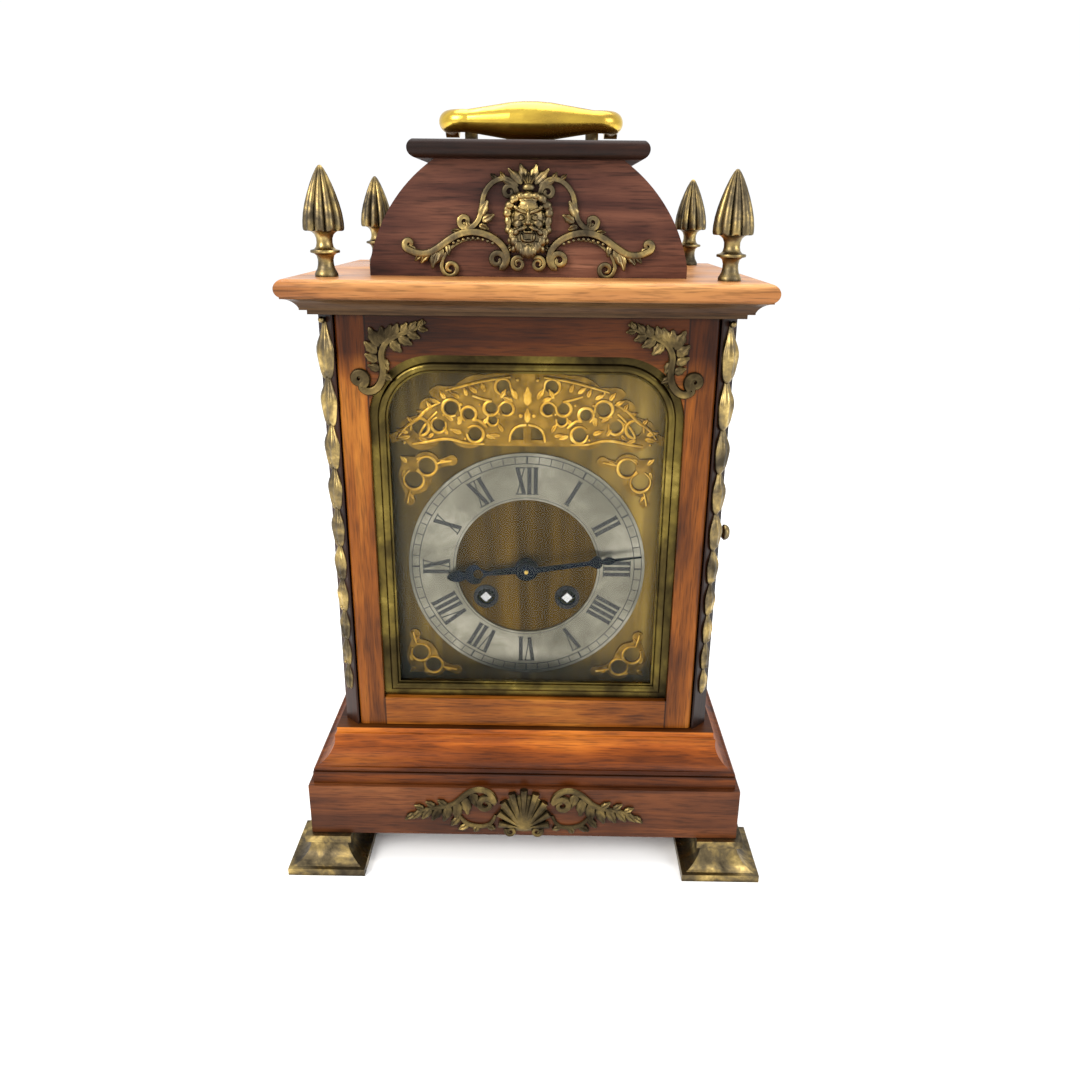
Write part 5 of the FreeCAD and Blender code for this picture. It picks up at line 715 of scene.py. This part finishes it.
def stroke(start, end, wide, matrix):
    """One engraved line between two points of the ring's face, given in mm before the matrix turns them."""
    (x1, z1), (x2, z2) = start, end
    made = bmesh.ops.create_cube(shape, size=1)["verts"]
    long = math.hypot(x2 - x1, z2 - z1)
    lie = (Matrix.Translation(Vector(((x1 + x2) / 2, 0, (z1 + z2) / 2)))
           @ Matrix.Rotation(math.atan2(x2 - x1, z2 - z1), 4, "Y") @ Matrix.Diagonal((wide, WAX, long, 1)))
    centred = Matrix.Translation((DIAL_MIDDLE[0] * MM, -(RING_FACE + WAX / 2) * MM, DIAL_MIDDLE[1] * MM))
    bmesh.ops.transform(shape, matrix=centred @ Matrix.Scale(MM, 4) @ matrix @ lie, verts=made)


def circle(radius, step, wide):
    """An engraved circle, cut in strokes of step degrees that overlap a little."""
    for start in range(0, 360, step):
        here, there = math.radians(start), math.radians(start + (step + OVERLAP))
        stroke((radius * math.sin(here), radius * math.cos(here)),
               (radius * math.sin(there), radius * math.cos(there)), wide, Matrix())


for hour, word in enumerate(("XII", "I", "II", "III", "IIII", "V", "VI", "VII", "VIII", "IX", "X", "XI")):
    turned = Matrix.Rotation(math.radians(hour * 30), 4, "Y") @ Matrix.Translation((0, 0, NUMERAL_FOOT))
    along = -sum(LETTER[letter] for letter in word) / 2
    for letter in word:
        wide = LETTER[letter]
        left, middle, right_edge = along + 0.9, along + wide / 2, along + wide - 0.9
        if letter == "I":
            stroke((middle, 0), (middle, NUMERAL_HIGH), THICK, turned)
        elif letter == "V":
            stroke((left + 0.4, NUMERAL_HIGH), (middle, 0), THICK, turned)
            stroke((right_edge - 0.2, NUMERAL_HIGH), (middle, 0), THIN, turned)
        else:
            stroke((left + 0.4, NUMERAL_HIGH), (right_edge - 0.4, 0), THICK, turned)
            stroke((right_edge - 0.3, NUMERAL_HIGH), (left + 0.3, 0), THIN, turned)
        for level in (0, NUMERAL_HIGH):
            if letter != "V" or level:
                stroke((left - 0.7, level), (right_edge + 0.7, level), SERIF, turned)
        along += wide
circle(TRACK_INNER, 2, FINE_MARK)
circle(TRACK_OUTER, 2, FINE_MARK)
for minute in range(60):
    turned = Matrix.Rotation(math.radians(minute * 6), 4, "Y")
    stroke((0, TRACK_INNER), (0, TRACK_OUTER), HOUR_MARK if minute % 5 == 0 else FINE_MARK, turned)
circle(INNER_LINE, 3, HAIR_LINE)
finished("engraved_hours", shape, wax, "case")

# Dial plate: matted brass, gone olive and brown in the middle under the hands. It grows brighter towards the
# right as a painted reflection across the plate; the matting is drawn out into fine upright streaks
MATTED = ((0.28, "40361E"), (0.44, "5E5030"), (0.58, "7A683A"), (0.76, "9A8648"))
DULL_WITHIN = (0.044, 0.052)
PLATE_HALF = 0.095
dial, tree, surface = metal("matted_dial_brass", MATTED, (0.4, 0.55),
                            spots=60.0, marks=1500.0, relief=0.01, stretch=(1, 1, 0.08))
toned = surface.inputs["Base Color"].links[0].from_socket
place = add(tree, "ShaderNodeTexCoord")
middle = add(tree, "ShaderNodeMapping", links={"Vector": place.outputs["Object"]},
             Location=(0, 0, -DIAL_MIDDLE[1] * MM), Scale=(1, 0, 1))
away = add(tree, "ShaderNodeVectorMath", {"operation": "LENGTH"}, {0: middle.outputs["Vector"]})
centre = add(tree, "ShaderNodeMapRange", links={"Value": away.outputs["Value"]},
             From_Min=DULL_WITHIN[0], From_Max=DULL_WITHIN[1], To_Min=1.0, To_Max=0.0)
spot = add(tree, "ShaderNodeSeparateXYZ", links={"Vector": place.outputs["Object"]})
# Painted reflection: the plate is multiplied by a ramp across its width, darkest at the left and brightest at
# the right
across = add(tree, "ShaderNodeMapRange", links={"Value": spot.outputs["X"]},
             From_Min=-PLATE_HALF, From_Max=PLATE_HALF)
painted_reflection = add(tree, "ShaderNodeValToRGB", links={"Fac": across.outputs["Result"]},
            stops=((0.0, "9C9078"), (0.30, "B8AA8C"), (0.62, "D8CAA4"), (0.86, "FFF0C8"), (1.0, "FFF4D0")))
with_painted_reflection = add(tree, "ShaderNodeMix", {"data_type": "RGBA", "blend_type": "MULTIPLY"},
             {6: toned, 7: painted_reflection.outputs["Color"]}, i0=0.85)
dull = add(tree, "ShaderNodeMix", {"data_type": "RGBA", "blend_type": "MULTIPLY"},
           {0: centre.outputs["Result"], 6: with_painted_reflection.outputs[2]})
dull.inputs[7].default_value = sheet_colour("D0C4A8")
tree.links.new(dull.outputs[2], surface.inputs["Base Color"])
dress(dial, "dial_plate")

# Crest fret and spandrels: pierced and chased brass, mercury gilt. Scrolls, leaves and berries are chased
# in low relief on the pierced plates, which two small screws hold to the dial
FRET_FACE = 72.2
SPANDREL_EDGE = 77.0
FRET_SCROLLS = (
    (curl(35.1, 98.8, 5.0, -60, 0.85, inner=0.9) + [(29.0, 96.0), (24.0, 90.6)], (1.0, 2.0, 1.6)),
    (curl(45.8, 102.3, 5.8, 200, -0.9, inner=0.9), (1.0, 2.0, 1.0)),
    (curl(21.8, 102.6, 5.0, 160, 0.85, inner=0.85) + [(27.4, 108.0), (33.0, 110.0)], (1.0, 2.0, 1.2)),
    (curl(31.6, 86.6, 5.6, 40, 0.9, inner=0.9), (1.0, 2.0, 1.2)),
    (curl(64.8, 90.5, 6.0, -20, 0.85, inner=0.9) + [(58.0, 97.0), (54.0, 100.0)], (1.0, 2.2, 1.2)),
    (curl(53.3, 91.8, 5.0, 80, -0.8, inner=0.9), (1.0, 2.0, 1.0)),
    (curl(14.5, 115.8, 5.2, 250, 0.85, inner=0.9), (1.0, 2.0, 1.0)),
    (curl(12.4, 102.1, 4.6, 20, 0.8, inner=0.9), (1.0, 1.8, 1.0)),
    (curl(20.7, 95.3, 3.8, 90, -0.8, inner=0.9), (0.8, 1.6, 1.0)),
    ([(0.6, 92.6), (10.6, 92.6), (10.8, 82.0)], (1.4, 1.4, 1.4)),
    ([(26.0, 80.6), (36.0, 80.2), (45.0, 83.4), (52.0, 83.6), (62.0, 81.0), (70.0, 80.0)], (1.0, 2.0, 1.4)),
    ([(10.0, 121.4), (24.0, 119.6), (38.0, 115.8), (49.0, 112.6)], (1.4, 2.0, 1.0)),
    ([(52.0, 105.6), (60.0, 102.4), (66.0, 95.0), (74.0, 91.0), (78.0, 84.6)], (1.0, 2.2, 1.2)))
FRET_LEAVES = (
    (6.0, 108.0, 60, 8.0, 3.4), (8.6, 106.6, 24, 7.6, 3.2), (25.4, 112.2, 70, 6.4, 3.0),
    (30.0, 111.6, 40, 7.0, 3.0), (36.0, 109.6, 70, 5.6, 2.8), (40.4, 108.4, 30, 7.0, 3.0),
    (49.0, 107.6, 56, 6.4, 3.0), (52.6, 104.8, 30, 6.6, 3.0), (57.6, 101.0, 64, 6.0, 2.8),
    (61.0, 99.0, 14, 5.6, 2.6), (69.0, 92.8, 50, 5.4, 2.6), (72.0, 87.0, 14, 7.6, 3.0),
    (71.0, 84.6, -8, 8.6, 3.2), (66.0, 84.0, 200, 6.6, 2.8), (41.6, 92.0, 110, 7.0, 3.2),
    (39.6, 87.0, 20, 7.6, 3.2), (44.4, 94.8, 30, 6.6, 2.8), (27.0, 92.4, 130, 6.0, 2.8),
    (25.0, 86.0, 200, 6.4, 3.0), (16.0, 108.6, 120, 6.6, 2.8), (56.6, 86.8, -40, 5.0, 2.6),
    (48.0, 86.0, 60, 5.4, 2.6), (14.6, 88.0, 60, 6.6, 2.8), (16.4, 85.6, 10, 6.0, 2.6))
BERRIES = (
    (4.0, 98.0, 1.4), (28.6, 104.6, 1.0), (39.6, 104.6, 1.1), (50.4, 98.0, 1.1), (58.6, 93.6, 1.0),
    (17.0, 99.0, 0.9), (37.6, 83.6, 1.0), (74.6, 80.8, 1.0), (46.0, 112.4, 0.9), (6.0, 119.6, 1.2))
SPANDREL_LEAVES = (
    (-3.4, -4.0, 45, 5.6, 3.2), (-1.8, -8.6, -70, 5.0, 2.6), (-9.0, -2.0, 160, 5.0, 2.6),
    (-23.4, -4.0, 150, 4.4, 2.4), (-4.6, -23.6, -120, 4.4, 2.4))


def above(level):
    """A height over the middle of the dial, as a height over the floor, in mm."""
    return DIAL_MIDDLE[1] + level


def in_corner(side, low, flip, line):
    """Points given from the outer corner of a spandrel, which is turned over where flip is -1."""
    return [(side * (SPANDREL_EDGE + x), above(low + flip * z)) for x, z in line]


shape = bmesh.new()
for side in (-1, 1):
    for line, widths in FRET_SCROLLS:
        arm(shape, beside(side, line, lift=DIAL_MIDDLE[1]), [1.25 * wide for wide in widths], FRET_FACE,
            flat=1.0, rise=0.1)
    spray(shape, FRET_LEAVES, side, FRET_FACE, 1.2, thick=1.1, lift=DIAL_MIDDLE[1])
    for x, z, radius in BERRIES:
        ball(shape, (side * x, -FRET_FACE, above(z)), (radius, 0.9, radius), segments=12)
    screw = bmesh.ops.create_cone(shape, cap_ends=True, segments=24, radius1=1.9 * MM, radius2=1.5 * MM,
                                  depth=0.9 * MM)
    seat = Matrix.Translation(Vector((side * 40.6, -(FRET_FACE + 0.4), above(96.0))) * MM)
    bmesh.ops.transform(shape, matrix=seat @ Matrix.Rotation(math.radians(90), 4, "X"), verts=screw["verts"])
    for low, flip in ((72.3, 1), (-76.0, -1)):
        for line in (curl(-15.6, -6.1, 6.4, 20 * flip, 0.9, inner=0.95),
                     curl(-7.2, -14.9, 6.6, 70 * flip, -0.9, inner=0.95),
                     [(-21.0, -4.6), (-27.0, -3.0), (-31.0, -2.6)],
                     [(-5.0, -21.0), (-3.2, -26.0), (-2.8, -30.0)]):
            arm(shape, in_corner(side, low, flip, line), (1.2, 2.2, 1.3), FRET_FACE, flat=1.0, rise=0.1)
        for x, z, angle, long, wide in SPANDREL_LEAVES:
            (x, z), = in_corner(side, low, flip, [(x, z)])
            leaning = angle * flip
            leaflet(shape, x, z, leaning if side > 0 else 180 - leaning, long, wide, FRET_FACE, thick=0.8)
leaflet(shape, 0, above(104), 90, 12, 5.4, FRET_FACE, thick=1.1)
leaflet(shape, 0, above(94), 90, 9, 4.4, FRET_FACE, thick=1.0)
finished("chased_frets", shape, gilt, "case")
# The pierced plates under the relief: the same gilding, duller and browner
ground, _, _ = metal("gilt_fret_ground",
                     ((0.30, "5E4618"), (0.46, "7A5C20"), (0.60, "92702A"), (0.78, "AC8838")),
                     (0.45, 0.62), spots=140.0, hollow="3A2A10", relief=0.3)
dress(ground, "crest_fret", "spandrels")

low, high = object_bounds()
